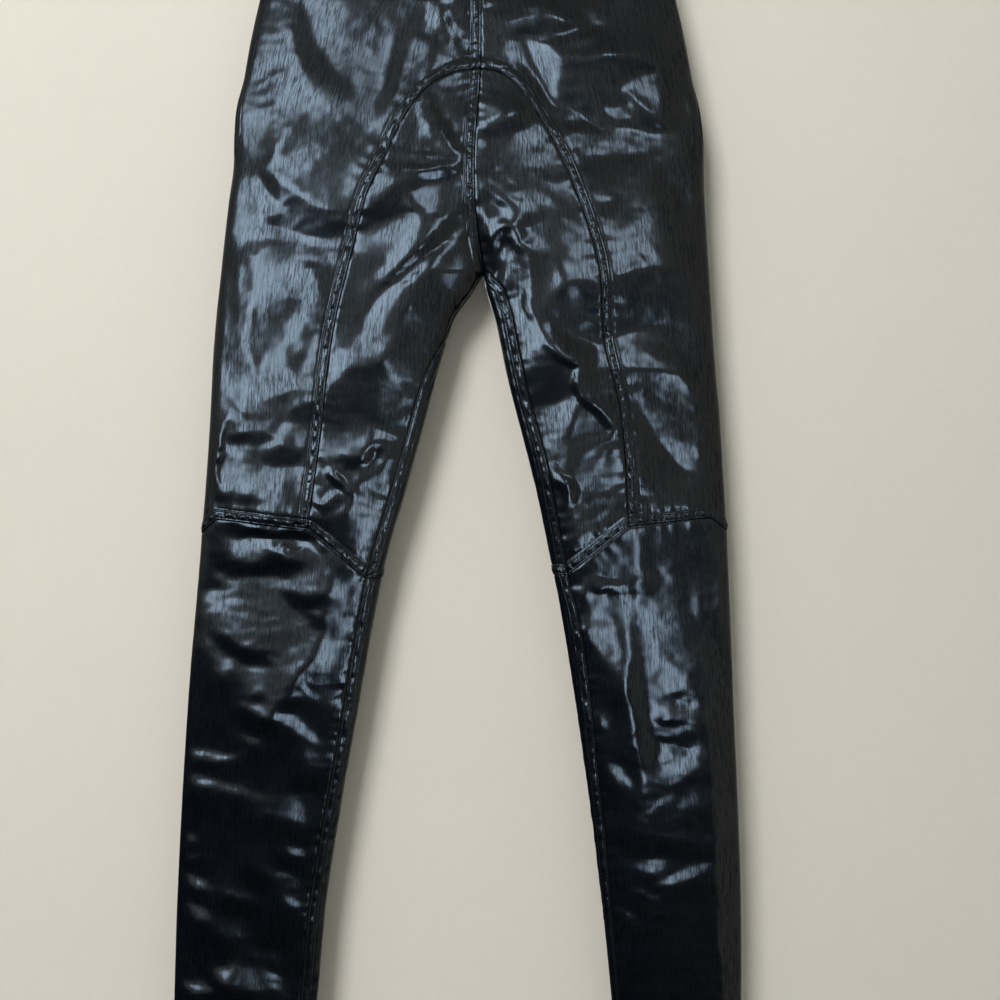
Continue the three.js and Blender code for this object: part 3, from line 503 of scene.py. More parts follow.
def crumple(side, face, x, z):
    out = np.empty(len(x))
    offset = 0 if side == "left" else 37.0
    faces = np.broadcast_to(face, x.shape)
    for k in range(len(x)):
        px, pz, seed = float(x[k]), float(z[k]), float(faces[k]) * 11 + offset
        shin = min(max((-520 - pz) / 110, 0), 1)
        much = 0.4 if faces[k] == FRONT else 1.0
        out[k] = noise.noise((px / 11.0, pz / 7.0, seed + 5)) * 0.10
        if shin < 1:
            out[k] += much * (1 - shin) * folded_noise(px, pz, 52, 44, seed, 1.6, 1.3)
        if shin > 0:
            out[k] += much * shin * folded_noise(px, pz, 62, 21, seed + 50, 0.9, 1.5)
    return out


# %% [markdown]
# ## Facets of the crumpled cloth
#
# Gloss tells which way each patch of cloth leans: a patch is bright where it mirrors the window, olive where
# it mirrors the wall and black where it mirrors the floor. So each facet is an outline and the thing it
# mirrors. From the viewer's place the lean follows, as the normal halves the angle between the two lines.
# One smooth height map is then fitted to all the leans at once, which is what real cloth does between its
# creases. Later rows lie on top of earlier ones.

# %% Table of the facets
FACETS = [  # (what it mirrors, where it is, its outline seen from the front)
    ("window", "left hip and thigh", [
        (-200, -57), (6, -57), (6, -298), (-69, -443), (-93, -528), (-154, -531), (-240, -526), (-235, -425),
        (-225, -287), (-213, -177)]),
    ("wall", "right hip and thigh", [
        (16, -57), (205, -57), (220, -204), (229, -333), (236, -528), (159, -528), (95, -554), (72, -462),
        (56, -333), (56, -287), (17, -273)]),
    ("floor", "left shin", [(-242, -545), (-154, -546), (-106, -595), (-119, -694), (-137, -977), (-268, -977)]),
    ("edge", "left shin, upper", [
        (-222, -552), (-154, -550), (-108, -597), (-114, -650), (-126, -676), (-139, -668), (-150, -702),
        (-163, -686), (-176, -716), (-187, -690), (-200, -700), (-211, -668), (-224, -684), (-236, -650),
        (-246, -655), (-243, -612), (-226, -596), (-234, -580), (-216, -570)]),
    ("floor", "right shin", [
        (97, -572), (159, -549), (240, -545), (249, -756), (253, -977), (135, -977), (119, -756)]),
    ("wall", "dim column", [
        (-170, -57), (-152, -57), (-143, -85), (-133, -108), (-121, -126), (-102, -136), (-108, -148),
        (-131, -144), (-146, -135), (-154, -112), (-163, -94)]),
    ("edge", "dim streaks by the waist", [(-112, -62), (-62, -57), (-67, -79), (-94, -88), (-113, -94)]),
    ("wall", "wall by the fly, outer", [
        (-65, -86), (-51, -74), (-38, -64), (-39, -89), (-52, -96), (-58, -112), (-60, -135), (-66, -149),
        (-80, -166), (-86, -160), (-75, -140), (-71, -112)]),
    ("wall", "wall by the fly, hook", [
        (-43, -86), (-29, -92), (-15, -96), (-21, -109), (-32, -115), (-40, -123), (-49, -134), (-57, -140),
        (-58, -129), (-51, -118), (-38, -110), (-29, -101), (-43, -95)]),
    ("floor", "fly shade", [(-14, -57), (6, -57), (6, -105), (-6, -96), (-16, -79)]),
    ("wall", "shelf", [
        (-186, -175), (-163, -167), (-146, -163), (-112, -167), (-82, -175), (-80, -204), (-112, -210),
        (-135, -216), (-143, -212), (-126, -195), (-149, -193), (-172, -205), (-189, -207), (-181, -195),
        (-192, -186)]),
    ("floor", "smile hollow", [
        (-194, -211), (-163, -229), (-139, -246), (-122, -252), (-87, -249), (-62, -228), (-45, -218),
        (-5, -215), (-6, -224), (-34, -225), (-49, -232), (-60, -242), (-49, -245), (-41, -254), (-63, -257),
        (-82, -263), (-103, -274), (-135, -279), (-155, -274), (-183, -264), (-185, -254), (-167, -251),
        (-189, -224)]),
    ("wall", "under the curl", [
        (-78, -196), (-60, -200), (-34, -202), (-17, -204), (-25, -210), (-48, -210), (-58, -219), (-67, -224),
        (-76, -213)]),
    ("wall", "dim band beside the arch", [
        (-54, -142), (-40, -149), (-41, -177), (-47, -197), (-58, -201), (-62, -177), (-58, -158)]),
    ("wall", "wall under the arch top", [
        (-38, -134), (-25, -131), (-12, -140), (0, -150), (1, -182), (-12, -172), (-25, -159), (-36, -147)]),
    ("wall", "wall above the curl", [
        (-30, -171), (-16, -181), (0, -194), (-4, -206), (-11, -196), (-25, -185)]),
    ("edge", "inside the curl", [(-43, -166), (-27, -188), (-19, -200), (-40, -198), (-47, -186)]),
    ("wall", "right of the hollow", [(-25, -228), (-4, -223), (1, -256), (-12, -265), (-26, -256)]),
    ("wall", "long slant", [
        (-91, -283), (-63, -279), (-27, -265), (3, -263), (-10, -283), (-43, -293), (-65, -302), (-76, -320),
        (-91, -333), (-103, -343), (-112, -362), (-122, -379), (-135, -374), (-132, -333), (-112, -332),
        (-98, -305)]),
    ("wall", "dim top of the thigh", [
        (-203, -276), (-154, -282), (-163, -293), (-186, -297), (-215, -300), (-209, -287)]),
    ("wall", "small dent", [
        (-205, -318), (-190, -313), (-176, -313), (-161, -318), (-167, -323), (-189, -325), (-200, -324)]),
    ("wall", "slant hollow", [
        (-186, -333), (-154, -324), (-148, -333), (-163, -351), (-170, -375), (-181, -380), (-195, -375),
        (-206, -371), (-195, -351)]),
    ("wall", "wall beside the arch", [
        (-139, -300), (-112, -300), (-108, -287), (-93, -287), (-98, -324), (-117, -361), (-125, -397),
        (-131, -425), (-154, -429), (-161, -425), (-158, -411), (-165, -394), (-167, -374), (-154, -361),
        (-145, -338), (-140, -319)]),
    ("floor", "floor of the deep hollow", [
        (-169, -443), (-158, -431), (-130, -423), (-122, -407), (-112, -394), (-84, -392), (-54, -399),
        (-52, -427), (-62, -454), (-89, -448), (-108, -454), (-121, -458), (-137, -452), (-154, -451)]),
    ("edge", "streaky thigh", [
        (-219, -296), (-196, -301), (-171, -299), (-160, -310), (-171, -330), (-190, -331), (-209, -325)]),
    ("floor", "long dent", [
        (-150, -306), (-139, -309), (-133, -334), (-137, -362), (-146, -389), (-155, -391), (-150, -356)]),
    ("wall", "side fold 1", [(-220, -276), (-213, -274), (-209, -324), (-213, -362), (-219, -333)]),
    ("wall", "side fold 2", [(-200, -337), (-189, -331), (-184, -372), (-192, -405), (-200, -381)]),
    ("wall", "side fold 3", [(-205, -420), (-195, -416), (-189, -453), (-194, -484), (-203, -462)]),
    ("wall", "side fold 4", [(-168, -460), (-159, -458), (-155, -495), (-160, -523), (-168, -508)]),
    ("wall", "inner fold", [(-107, -439), (-97, -435), (-92, -471), (-100, -500), (-108, -476)]),
    ("floor", "low dent", [(-194, -473), (-168, -466), (-148, -473), (-155, -484), (-178, -488), (-192, -484)]),
    ("edge", "mid streaks", [(-186, -379), (-167, -381), (-162, -407), (-172, -421), (-184, -407)]),
    ("wall", "second slant hollow", [
        (-211, -444), (-189, -426), (-162, -416), (-167, -435), (-176, -458), (-200, -450)]),
    ("floor", "side crease 1", [
        (-225, -456), (-200, -454), (-181, -454), (-175, -462), (-200, -466), (-224, -463)]),
    ("floor", "side crease 2", [
        (-236, -513), (-218, -511), (-194, -515), (-190, -522), (-213, -520), (-236, -519)]),
    ("wall", "wall on the inner thigh", [
        (-112, -298), (-75, -298), (-54, -298), (-65, -315), (-80, -333), (-93, -353), (-102, -372),
        (-115, -381), (-121, -370), (-108, -342)]),
    ("window", "inner shine", [
        (-82, -364), (-67, -344), (-48, -341), (-25, -355), (-15, -361), (-25, -375), (-43, -379), (-62, -374),
        (-73, -380), (-86, -372)]),
    ("floor", "inner fold hollow", [(-68, -382), (-57, -378), (-40, -376), (-37, -384), (-60, -387)]),
    ("window", "inner fold lip", [(-71, -391), (-58, -386), (-44, -390), (-52, -400), (-66, -397)]),
    ("edge", "inner dim", [(-52, -304), (-25, -307), (-14, -331), (-25, -352), (-41, -352), (-57, -329)]),
    ("window", "beside the crotch", [(-25, -298), (-5, -281), (2, -305), (-10, -325), (-20, -315)]),
    ("edge", "over the knee, dim", [(-126, -455), (-106, -459), (-65, -454), (-80, -476), (-108, -472)]),
    ("floor", "hollow over the knee", [
        (-121, -490), (-108, -482), (-85, -476), (-69, -480), (-80, -500), (-98, -501), (-113, -495)]),
    ("wall", "small wall patch", [(-144, -509), (-126, -503), (-111, -506), (-121, -518), (-141, -518)]),
    ("floor", "short crease", [(-139, -476), (-126, -482), (-117, -489), (-126, -488), (-137, -481)]),
    ("window", "small streak", [(38, -99), (49, -89), (52, -112), (44, -121), (37, -109)]),
    ("window", "waist lip", [(56, -65), (72, -67), (87, -77), (73, -76), (58, -74)]),
    ("floor", "waist hollow", [(43, -83), (58, -77), (87, -78), (106, -83), (86, -92), (58, -93), (43, -88)]),
    ("edge", "waist shine", [
        (61, -92), (86, -97), (106, -94), (118, -96), (112, -105), (95, -106), (78, -101)]),
    ("window", "dot", [(112, -67), (121, -71), (121, -83), (112, -81)]),
    ("floor", "basin", [
        (54, -96), (72, -101), (86, -111), (106, -115), (132, -110), (159, -112), (178, -120), (183, -131),
        (159, -123), (145, -131), (142, -144), (159, -155), (178, -167), (190, -178), (168, -178), (150, -172),
        (122, -176), (113, -166), (99, -154), (81, -154), (71, -140), (64, -121)]),
    ("window", "small vee", [
        (144, -134), (159, -129), (174, -122), (178, -140), (180, -157), (168, -154), (156, -144)]),
    ("edge", "torn streaks", [(75, -158), (90, -153), (109, -163), (105, -170), (86, -168)]),
    ("edge", "torn streaks 2", [(126, -158), (150, -155), (154, -166), (133, -170)]),
    ("window", "right hip shine", [
        (29, -195), (44, -181), (58, -172), (75, -177), (86, -184), (93, -178), (122, -177), (159, -177),
        (189, -180), (205, -165), (215, -167), (207, -178), (191, -187), (178, -194), (159, -198), (132, -201),
        (109, -203), (90, -207), (81, -213), (58, -211), (40, -205), (29, -201)]),
    ("window", "right crotch ridge", [
        (16, -222), (30, -229), (58, -236), (77, -240), (82, -249), (67, -247), (44, -240), (25, -237)]),
    ("floor", "right crotch hollow", [
        (17, -234), (30, -240), (44, -249), (60, -264), (49, -268), (37, -259), (25, -248)]),
    ("window", "shine beside the arch", [
        (88, -260), (113, -264), (132, -260), (152, -267), (168, -278), (174, -298), (159, -304), (133, -304),
        (128, -319), (97, -316), (82, -325), (73, -335), (68, -352), (64, -333), (74, -305), (95, -293),
        (85, -278)]),
    ("wall", "patch in it", [(72, -287), (82, -287), (87, -301), (78, -307)]),
    ("edge", "tick", [(151, -245), (164, -248), (174, -265), (168, -274), (159, -267)]),
    ("edge", "side patch", [(181, -214), (205, -213), (211, -241), (205, -252), (201, -228), (185, -228)]),
    ("window", "edge lip", [(194, -140), (205, -149), (213, -166), (205, -164)]),
    ("edge", "streak under the arch top", [(19, -153), (30, -157), (34, -167), (26, -176), (20, -166)]),
    ("edge", "streak under the arch top 2", [(14, -122), (25, -126), (22, -140), (16, -136)]),
    ("floor", "hollow under the arch top", [
        (12, -177), (30, -171), (49, -167), (58, -170), (44, -179), (35, -187), (21, -187)]),
    ("floor", "crotch cavity", [
        (17, -287), (28, -276), (33, -269), (42, -269), (44, -281), (52, -291),
        (52, -324), (42, -335), (30, -333), (21, -315)]),
    ("floor", "basin of the thigh", [
        (75, -335), (90, -320), (122, -321), (159, -307), (198, -306), (207, -329), (214, -361), (227, -381),
        (220, -381), (205, -368), (178, -358), (159, -356), (143, -362), (122, -371), (104, -366), (86, -353),
        (75, -350)]),
    ("window", "vee upper arm", [
        (140, -367), (159, -358), (178, -361), (205, -370), (220, -385), (205, -381), (182, -371), (164, -368),
        (145, -375)]),
    ("window", "vee main", [
        (141, -375), (159, -377), (173, -387), (191, -396), (211, -420), (211, -437), (196, -443), (178, -426),
        (159, -408), (145, -391)]),
    ("floor", "vee hollow", [
        (149, -399), (164, -411), (182, -430), (206, -443), (206, -457), (191, -460), (178, -448),
        (159, -426)]),
    ("window", "vee lower arm", [
        (142, -397), (149, -399), (159, -426), (178, -448), (191, -462), (205, -462), (215, -448), (214, -471),
        (207, -495), (196, -489), (182, -471), (168, -448), (155, -425)]),
    ("floor", "shade left of the overlap", [
        (58, -374), (76, -380), (98, -394), (101, -412), (98, -420), (81, -426), (63, -430), (58, -407)]),
    ("edge", "mid streaks by the inseam", [(52, -361), (63, -374), (58, -403), (50, -388)]),
    ("window", "swell beside the inseam", [
        (66, -434), (86, -426), (99, -421), (113, -434), (128, -448), (122, -457), (109, -453), (95, -462),
        (92, -480), (86, -507), (98, -519), (86, -513), (74, -489), (66, -462)]),
    ("window", "curl shine", [
        (100, -483), (113, -466), (132, -460), (136, -453), (135, -464), (126, -471), (113, -483)]),
    ("floor", "dark wedge", [(102, -489), (122, -472), (137, -471), (144, -486), (122, -490), (108, -495)]),
    ("window", "knee lip", [(98, -494), (122, -491), (143, -491), (140, -504), (122, -509), (104, -506)]),
    ("floor", "below the knee lip", [
        (104, -511), (122, -516), (137, -508), (144, -517), (122, -527), (108, -522)]),
    ("window", "knee curve", [(98, -518), (113, -527), (133, -528), (128, -535), (109, -529)]),
    ("floor", "right knee pit", [(157, -489), (168, -503), (174, -522), (159, -517), (149, -499)]),
    ("window", "over the knee seam", [(157, -524), (174, -522), (174, -529), (160, -529)]),
    ("window", "first lip", [(-225, -558), (-190, -558), (-171, -571), (-185, -587), (-209, -573)]),
    ("window", "side shine", [
        (-247, -600), (-227, -599), (-213, -627), (-213, -656), (-227, -647), (-241, -619)]),
    ("window", "middle streak", [(-210, -609), (-194, -616), (-194, -647), (-204, -647)]),
    ("window", "inner lip", [(-163, -591), (-143, -600), (-154, -611)]),
    ("window", "inner patch", [(-137, -647), (-117, -643), (-110, -653), (-130, -665)]),
    ("window", "swell", [(-179, -620), (-165, -646), (-148, -679), (-157, -686), (-172, -664)]),
    ("floor", "shin dent 1", [
        (-236, -571), (-207, -577), (-178, -569), (-150, -580), (-163, -590), (-191, -586), (-222, -585)]),
    ("floor", "shin dent 2", [
        (-172, -601), (-150, -606), (-128, -603), (-119, -610), (-138, -619), (-161, -618)]),
    ("floor", "shin dent 3", [
        (-241, -637), (-222, -640), (-207, -652), (-188, -655), (-180, -668), (-204, -669), (-228, -656)]),
    ("floor", "tuck 1", [(-187, -545), (-154, -544), (-143, -551), (-170, -555)]),
    ("floor", "tuck 2", [(-238, -578), (-209, -573), (-194, -580), (-218, -588)]),
    ("floor", "inner tuck", [(-154, -618), (-126, -629), (-112, -629), (-117, -640), (-139, -638)]),
    ("window", "calf 1", [
        (-211, -701), (-185, -705), (-154, -719), (-133, -738), (-144, -741), (-167, -725), (-195, -713)]),
    ("window", "calf 1b", [(-210, -730), (-198, -735), (-187, -742), (-200, -741)]),
    ("window", "calf 2", [(-259, -746), (-232, -748), (-207, -753), (-232, -757), (-255, -754)]),
    ("edge", "calf 2b", [(-155, -753), (-137, -748), (-134, -759), (-149, -758)]),
    ("window", "calf 3", [
        (-260, -772), (-241, -772), (-209, -781), (-189, -789), (-204, -789), (-227, -780), (-250, -780)]),
    ("window", "calf 4", [(-184, -805), (-163, -793), (-142, -787), (-153, -798), (-146, -812), (-163, -811)]),
    ("window", "calf side 1", [(-265, -822), (-255, -827), (-251, -835), (-262, -833)]),
    ("window", "calf side 2", [(-265, -844), (-247, -844), (-255, -849)]),
    ("window", "calf 5", [(-168, -839), (-148, -838), (-150, -847), (-163, -846)]),
    ("window", "calf 6", [(-194, -855), (-172, -857), (-152, -868), (-155, -877), (-172, -869), (-187, -863)]),
    ("window", "calf side 3", [(-265, -858), (-246, -864), (-235, -875), (-250, -876)]),
    ("edge", "calf side 4", [(-260, -885), (-240, -893), (-238, -902), (-251, -903)]),
    ("window", "calf 7", [(-224, -878), (-204, -878), (-187, -883), (-209, -886)]),
    ("window", "calf 7b", [(-174, -880), (-152, -887), (-163, -891)]),
    ("edge", "calf 8", [(-231, -909), (-203, -903), (-208, -918), (-226, -919)]),
    ("window", "hem 1", [(-201, -936), (-171, -935), (-176, -943), (-196, -943)]),
    ("window", "hem 2", [(-234, -950), (-204, -944), (-176, -953), (-166, -964), (-190, -969), (-224, -964)]),
    ("window", "hem 3", [(-266, -959), (-246, -960), (-230, -969), (-255, -969)]),
    ("floor", "knee shade", [
        (122, -558), (145, -543), (178, -549), (214, -569), (240, -578), (242, -600),
        (214, -592), (192, -589), (173, -581), (159, -602), (133, -609), (125, -591)]),
    ("window", "lip under the seam", [(138, -542), (159, -538), (171, -542), (159, -547), (142, -548)]),
    ("window", "inner top", [(94, -558), (114, -553), (109, -564), (98, -567)]),
    ("window", "inner 1", [(101, -595), (113, -588), (126, -591), (128, -610), (113, -612), (104, -605)]),
    ("window", "inner 2", [
        (106, -620), (132, -619), (142, -655), (140, -674), (127, -665), (113, -647), (108, -632)]),
    ("window", "inner 3", [(120, -714), (132, -714), (134, -725), (122, -726)]),
    ("window", "inner 4", [(126, -760), (141, -763), (156, -780), (145, -780), (132, -771)]),
    ("wall", "smooth hollow", [
        (142, -589), (152, -607), (155, -646), (165, -692), (171, -738), (174, -767), (164, -765), (157, -738),
        (152, -710), (143, -683), (140, -646)]),
    ("edge", "shine column", [
        (155, -614), (173, -610), (188, -608), (195, -627), (201, -646), (206, -669), (200, -683), (206, -701),
        (213, -729), (211, -761), (196, -771), (181, -767), (175, -742), (172, -719), (168, -701), (164, -673),
        (159, -646)]),
    ("window", "column shine 1", [
        (155, -615), (173, -612), (179, -629), (185, -653), (173, -660), (163, -646)]),
    ("window", "column shine 2", [
        (170, -666), (185, -659), (200, -666), (203, -686), (189, -692), (174, -684)]),
    ("window", "column shine 3", [(170, -716), (185, -712), (207, -718), (209, -730), (189, -732), (174, -730)]),
    ("window", "column shine 4", [
        (176, -749), (192, -745), (214, -749), (213, -764), (200, -772), (181, -771)]),
    ("floor", "slant cut in the column", [
        (176, -646), (187, -653), (201, -672), (207, -686), (196, -677), (181, -661)]),
    ("floor", "cut 1 in the column", [(170, -698), (196, -696), (211, -700), (206, -710), (178, -708)]),
    ("floor", "cut 2 in the column", [(176, -737), (205, -739), (213, -745), (187, -748)]),
    ("window", "column top", [(172, -573), (187, -577), (193, -601), (185, -596), (178, -586)]),
    ("floor", "shade over the column", [
        (144, -550), (167, -545), (170, -565), (174, -589), (181, -607), (159, -611), (148, -598), (150, -572)]),
    ("window", "side streak 1", [(204, -591), (213, -588), (215, -609), (215, -633), (206, -618)]),
    ("window", "side streak 2", [(224, -591), (238, -588), (236, -609), (227, -619)]),
    ("wall", "side wall", [
        (214, -646), (233, -655), (247, -701), (252, -977), (235, -977), (225, -756), (216, -701)]),
    ("window", "calf r1", [(203, -792), (215, -794), (210, -799)]),
    ("window", "calf r2", [(218, -828), (234, -826), (228, -833)]),
    ("window", "calf r3", [(157, -857), (173, -847), (184, -854), (168, -860)]),
    ("window", "calf r4", [(176, -868), (205, -859), (230, -851), (214, -862), (191, -871)]),
    ("window", "calf r5", [(146, -873), (164, -878), (179, -884), (164, -884)]),
    ("window", "calf r6", [(138, -845), (148, -846), (143, -850)]),
    ("window", "calf r7", [(142, -895), (155, -898), (148, -903)]),
]

# %% Leans
EYE = tuple(c / MM for c in camera.location)
PANE_Y = -3000
PANES = [  # (left, right, bottom, top) of the bright panes
    tuple(round(c / MM) for c in (p.location.x - p.data.size / 2, p.location.x + p.data.size / 2,
                                  p.location.z - p.data.size_y / 2, p.location.z + p.data.size_y / 2))
    for p in (window, high_pane, low_pane)
]


def nearest_pane(x, z, inset):
    """The nearest point that is inside a pane by a share of the pane's size."""
    best, best_x, best_z = np.full(x.shape, 1e12), x, z
    for left, right, bottom, top in PANES:
        in_x, in_z = min(inset, 0.4 * (right - left)), min(inset, 0.4 * (top - bottom))
        to_x, to_z = np.clip(x, left + in_x, right - in_x), np.clip(z, bottom + in_z, top - in_z)
        distance = np.hypot(to_x - x, to_z - z)
        best_x, best_z = np.where(distance < best, to_x, best_x), np.where(distance < best, to_z, best_z)
        best = np.minimum(best, distance)
    return best_x, best_z


def out_of_panes(x, z, margin, may_rise=True):
    """The point moved sideways or up until it is outside every pane."""
    for left, right, bottom, top in PANES * 2:
        inside = (x > left - margin) & (x < right + margin) & (z > bottom - margin) & (z < top + margin)
        ways = np.stack([right + margin - x, x - left + margin + (9e9 if left < -1000 else 0),
                         top + margin - z + (0 if may_rise else 9e9)])
        way = np.argmin(ways, axis=0)
        x = np.where(inside & (way == 0), right + margin, np.where(inside & (way == 1), left - margin, x))
        z = np.where(inside & (way == 2), top + margin, z)
    return x, z


def lean_towards(what, x, z, lean_x, lean_z):
    """The nearest slopes of the cloth's height, along x and z, that mirror a thing to the viewer."""
    seen = np.stack([x - EYE[0], np.full(x.shape, -14 - EYE[1]), z - EYE[2]])
    normal = np.stack([-lean_x, -np.ones(x.shape), -lean_z])
    mirrored = seen - 2 * (seen * normal).sum(0) / (normal * normal).sum(0) * normal
    reach = (PANE_Y + 14) / np.minimum(mirrored[1], -60)
    hit_x, hit_z = x + mirrored[0] * reach, z + mirrored[2] * reach
    if what == "window":
        to_x, to_z = nearest_pane(hit_x, hit_z, 150)
    elif what == "edge":
        to_x, to_z = nearest_pane(hit_x, hit_z, 0)
        to_z = np.where(to_x <= PANES[0][1], np.maximum(to_z, PANES[0][2] + 160), to_z)
    elif what == "wall":
        to_x, to_z = out_of_panes(hit_x, np.maximum(hit_z, z + 60), 200)
        right_x, right_z = np.maximum(hit_x, x + 1100), np.maximum(hit_z, z - 1000)
        nearer = np.hypot(right_x - hit_x, right_z - hit_z) < np.hypot(to_x - hit_x, to_z - hit_z)
        to_x, to_z = np.where(nearer, right_x, to_x), np.where(nearer, right_z, to_z)
    else:
        to_x, to_z = out_of_panes(hit_x, np.minimum(hit_z, z - 400), 150, may_rise=False)
        to_x = np.minimum(to_x, x + 700)
        to_z = np.where(to_x < -400, np.minimum(to_z, -760), to_z)
    to_eye = -seen / np.linalg.norm(seen, axis=0)
    to_thing = np.stack([to_x - x, np.full(x.shape, PANE_Y + 14.0), to_z - z])
    half_way = to_eye + to_thing / np.linalg.norm(to_thing, axis=0)
    return np.clip(half_way[0] / half_way[1], -0.34, 0.34), np.clip(half_way[2] / half_way[1], -0.34, 0.34)


# %% A height map that follows the leans
STEP, LOW_X, LOW_Z = 2.0, -300.0, -1100.0
LOOSENESS, ROUNDING = 60.0, 1.8  # how far a lean may add up, and the radius of a crease, in mm
ROUNDS = 40
grid_x, grid_z = np.meshgrid(np.arange(LOW_X, 301, STEP), np.arange(LOW_Z, 21, STEP))


def inside_outline(x, z, outline):
    inside = np.zeros(x.shape, bool)
    for (x0, z0), (x1, z1) in zip(outline, outline[1:] + outline[:1]):
        if z0 != z1:
            inside ^= ((z0 > z) != (z1 > z)) & (x < (x1 - x0) * (z - z0) / (z1 - z0) + x0)
    return inside


def own_form():
    """Slopes of the plain hanging shape, and how much room a crease has there: none at an edge."""
    own, room_left = np.zeros(grid_x.shape), np.zeros(grid_x.shape)
    closing = smooth((CROTCH_Z + 90 - grid_z) / 90)
    for side in SIDES:
        outer, inner = section(side, FRONT, grid_z)[:2]
        towards = 1 if side == "left" else -1
        from_outer, from_inner = (grid_x - outer) * towards, (inner - grid_x) * towards
        here = (from_outer > 0) & (from_inner > 0)
        rise = lambda d: np.sin(math.pi / 2 * np.clip(d / SHOULDER, 0, 1))
        swell = (half_depth(grid_z) - EDGE_RADIUS) * rise(from_outer) * mix(1, rise(from_inner), closing)
        own[here] = swell[here]
        room_left[here] = (smooth(from_outer / 11) * mix(1, smooth(from_inner / 11), closing))[here]
    own_z, own_x = np.gradient(own, STEP)
    return own_x, own_z, room_left


def fitted_heights():
    """Lean every facet as it needs, fit one surface to the leans, and repeat until both agree."""
    moved = drift(grid_x.ravel(), grid_z.ravel(), 12.0).reshape(2, *grid_x.shape) * 0.4
    belongs = np.full(grid_x.shape, -1)
    for number, (what, _, outline) in enumerate(FACETS):
        inside = inside_outline(grid_x + moved[0], grid_z + moved[1], outline)
        belongs[inside] = ("window", "edge", "wall", "floor").index(what)
    own_x, own_z, room_left = own_form()
    pad = ((0, 80), (0, 80))
    rows, columns = grid_x.shape
    kz = 2 * math.pi * np.fft.fftfreq(rows + 80, STEP)[:, None]
    kx = 2 * math.pi * np.fft.fftfreq(columns + 80, STEP)[None, :]
    k2 = kx**2 + kz**2
    filter_ = np.exp(-k2 * ROUNDING**2 / 2) / (k2 + LOOSENESS**-2)
    now_x, now_z = np.zeros(grid_x.shape), np.zeros(grid_x.shape)
    keep = mix(0.7, 0.98, room_left)
    for _ in range(ROUNDS):
        want_x, want_z = now_x * keep, now_z * keep
        for number, what in enumerate(("window", "edge", "wall", "floor")):
            here = (belongs == number) & (room_left > 0)
            have_x, have_z = now_x[here] + own_x[here], now_z[here] + own_z[here]
            lean_x, lean_z = lean_towards(what, grid_x[here], grid_z[here], have_x, have_z)
            want_x[here] += 1.25 * (lean_x - have_x) * room_left[here]
            want_z[here] += 1.25 * (lean_z - have_z) * room_left[here]
        spectrum = -1j * (kx * np.fft.fft2(np.pad(want_x, pad)) + kz * np.fft.fft2(np.pad(want_z, pad))) * filter_
        heights = np.real(np.fft.ifft2(spectrum))[:rows, :columns] * room_left
        now_z, now_x = np.gradient(heights, STEP)
    return heights


FACET_HEIGHTS = fitted_heights()
print("facets:", len(FACETS), "heights from", FACET_HEIGHTS.min().round(1), "to", FACET_HEIGHTS.max().round(1), "mm")


def facet_heights(x, z):
    """The fitted height at any points, read with a smooth curve through four rows and columns."""
    column = np.clip((x - LOW_X) / STEP, 1, FACET_HEIGHTS.shape[1] - 3)
    row = np.clip((z - LOW_Z) / STEP, 1, FACET_HEIGHTS.shape[0] - 3)
    i, j = column.astype(int), row.astype(int)

    def weights(t):
        return ((-t + 2 * t**2 - t**3) / 2, (2 - 5 * t**2 + 3 * t**3) / 2, (t + 4 * t**2 - 3 * t**3) / 2,
                (t**3 - t**2) / 2)

    across, up = weights(column - i), weights(row - j)
    return sum(up[b] * across[a] * FACET_HEIGHTS[j + b - 1, i + a - 1] for a in range(4) for b in range(4))


# %% Cloth surface
def base_surface(side, face, u, z):
    u, z = np.asarray(u, float), np.asarray(z, float)
    face = np.where(u < 0, -np.asarray(face), face) * np.ones(u.shape)
    u = np.abs(u)
    outer, _, closed, width, length = section(side, face, z)
    past = (u > length) & (closed >= 1)
    face = np.where(past, -face, face)
    u = np.where(past, 2 * length - u, u)
    outer_arc, inner_arc = EDGE_RADIUS * math.pi / 2, EDGE_RADIUS * mix(1, math.pi / 2, closed)
    outer_turn = np.clip(u / outer_arc, 0, 1) * math.pi / 2
    share = np.clip((length - u) / inner_arc, 0, 1)
    inner_turn = share * math.pi / 2
    rolled = EDGE_RADIUS * mix(share, 1 - np.cos(inner_turn), closed)
    from_inner = np.where(length - u < inner_arc, rolled, EDGE_RADIUS + length - u - inner_arc)
    from_inner = from_inner - np.maximum(u - length, 0)
    from_outer = np.where(u < outer_arc, EDGE_RADIUS * (1 - np.cos(outer_turn)), width - from_inner)
    rise = lambda d: np.sin(math.pi / 2 * np.clip(d / SHOULDER, 0, 1))
    roll = EDGE_RADIUS * np.sin(outer_turn) * mix(1, np.sin(inner_turn), closed)
    closing = smooth((CROTCH_Z + 90 - z) / 90)
    swell = (half_depth(z) - EDGE_RADIUS) * rise(from_outer) * mix(1, rise(from_inner), closing)
    x = outer + (from_outer if side == "left" else -from_outer)
    fade = smooth(from_outer / 14) * mix(1, smooth(from_inner / 12), closing)
    facets = np.where(face == FRONT, facet_heights(x, z), 0)
    depth = roll + swell + fade * crease_heights(face, x, z) + facets
    return np.stack([x, -face * depth, z], 1), face, np.minimum(from_outer, np.where(closed > 0.5, from_inner, 99))


def surface_normal(side, face, u, z, step=0.7):
    across = base_surface(side, face, u + step, z)[0] - base_surface(side, face, u - step, z)[0]
    up = base_surface(side, face, u, z + step)[0] - base_surface(side, face, u, z - step)[0]
    turned = 1 if (side == "left") == (face == FRONT) else -1
    normal = np.cross(across, up) * turned
    return normal / np.linalg.norm(normal, axis=1, keepdims=True)


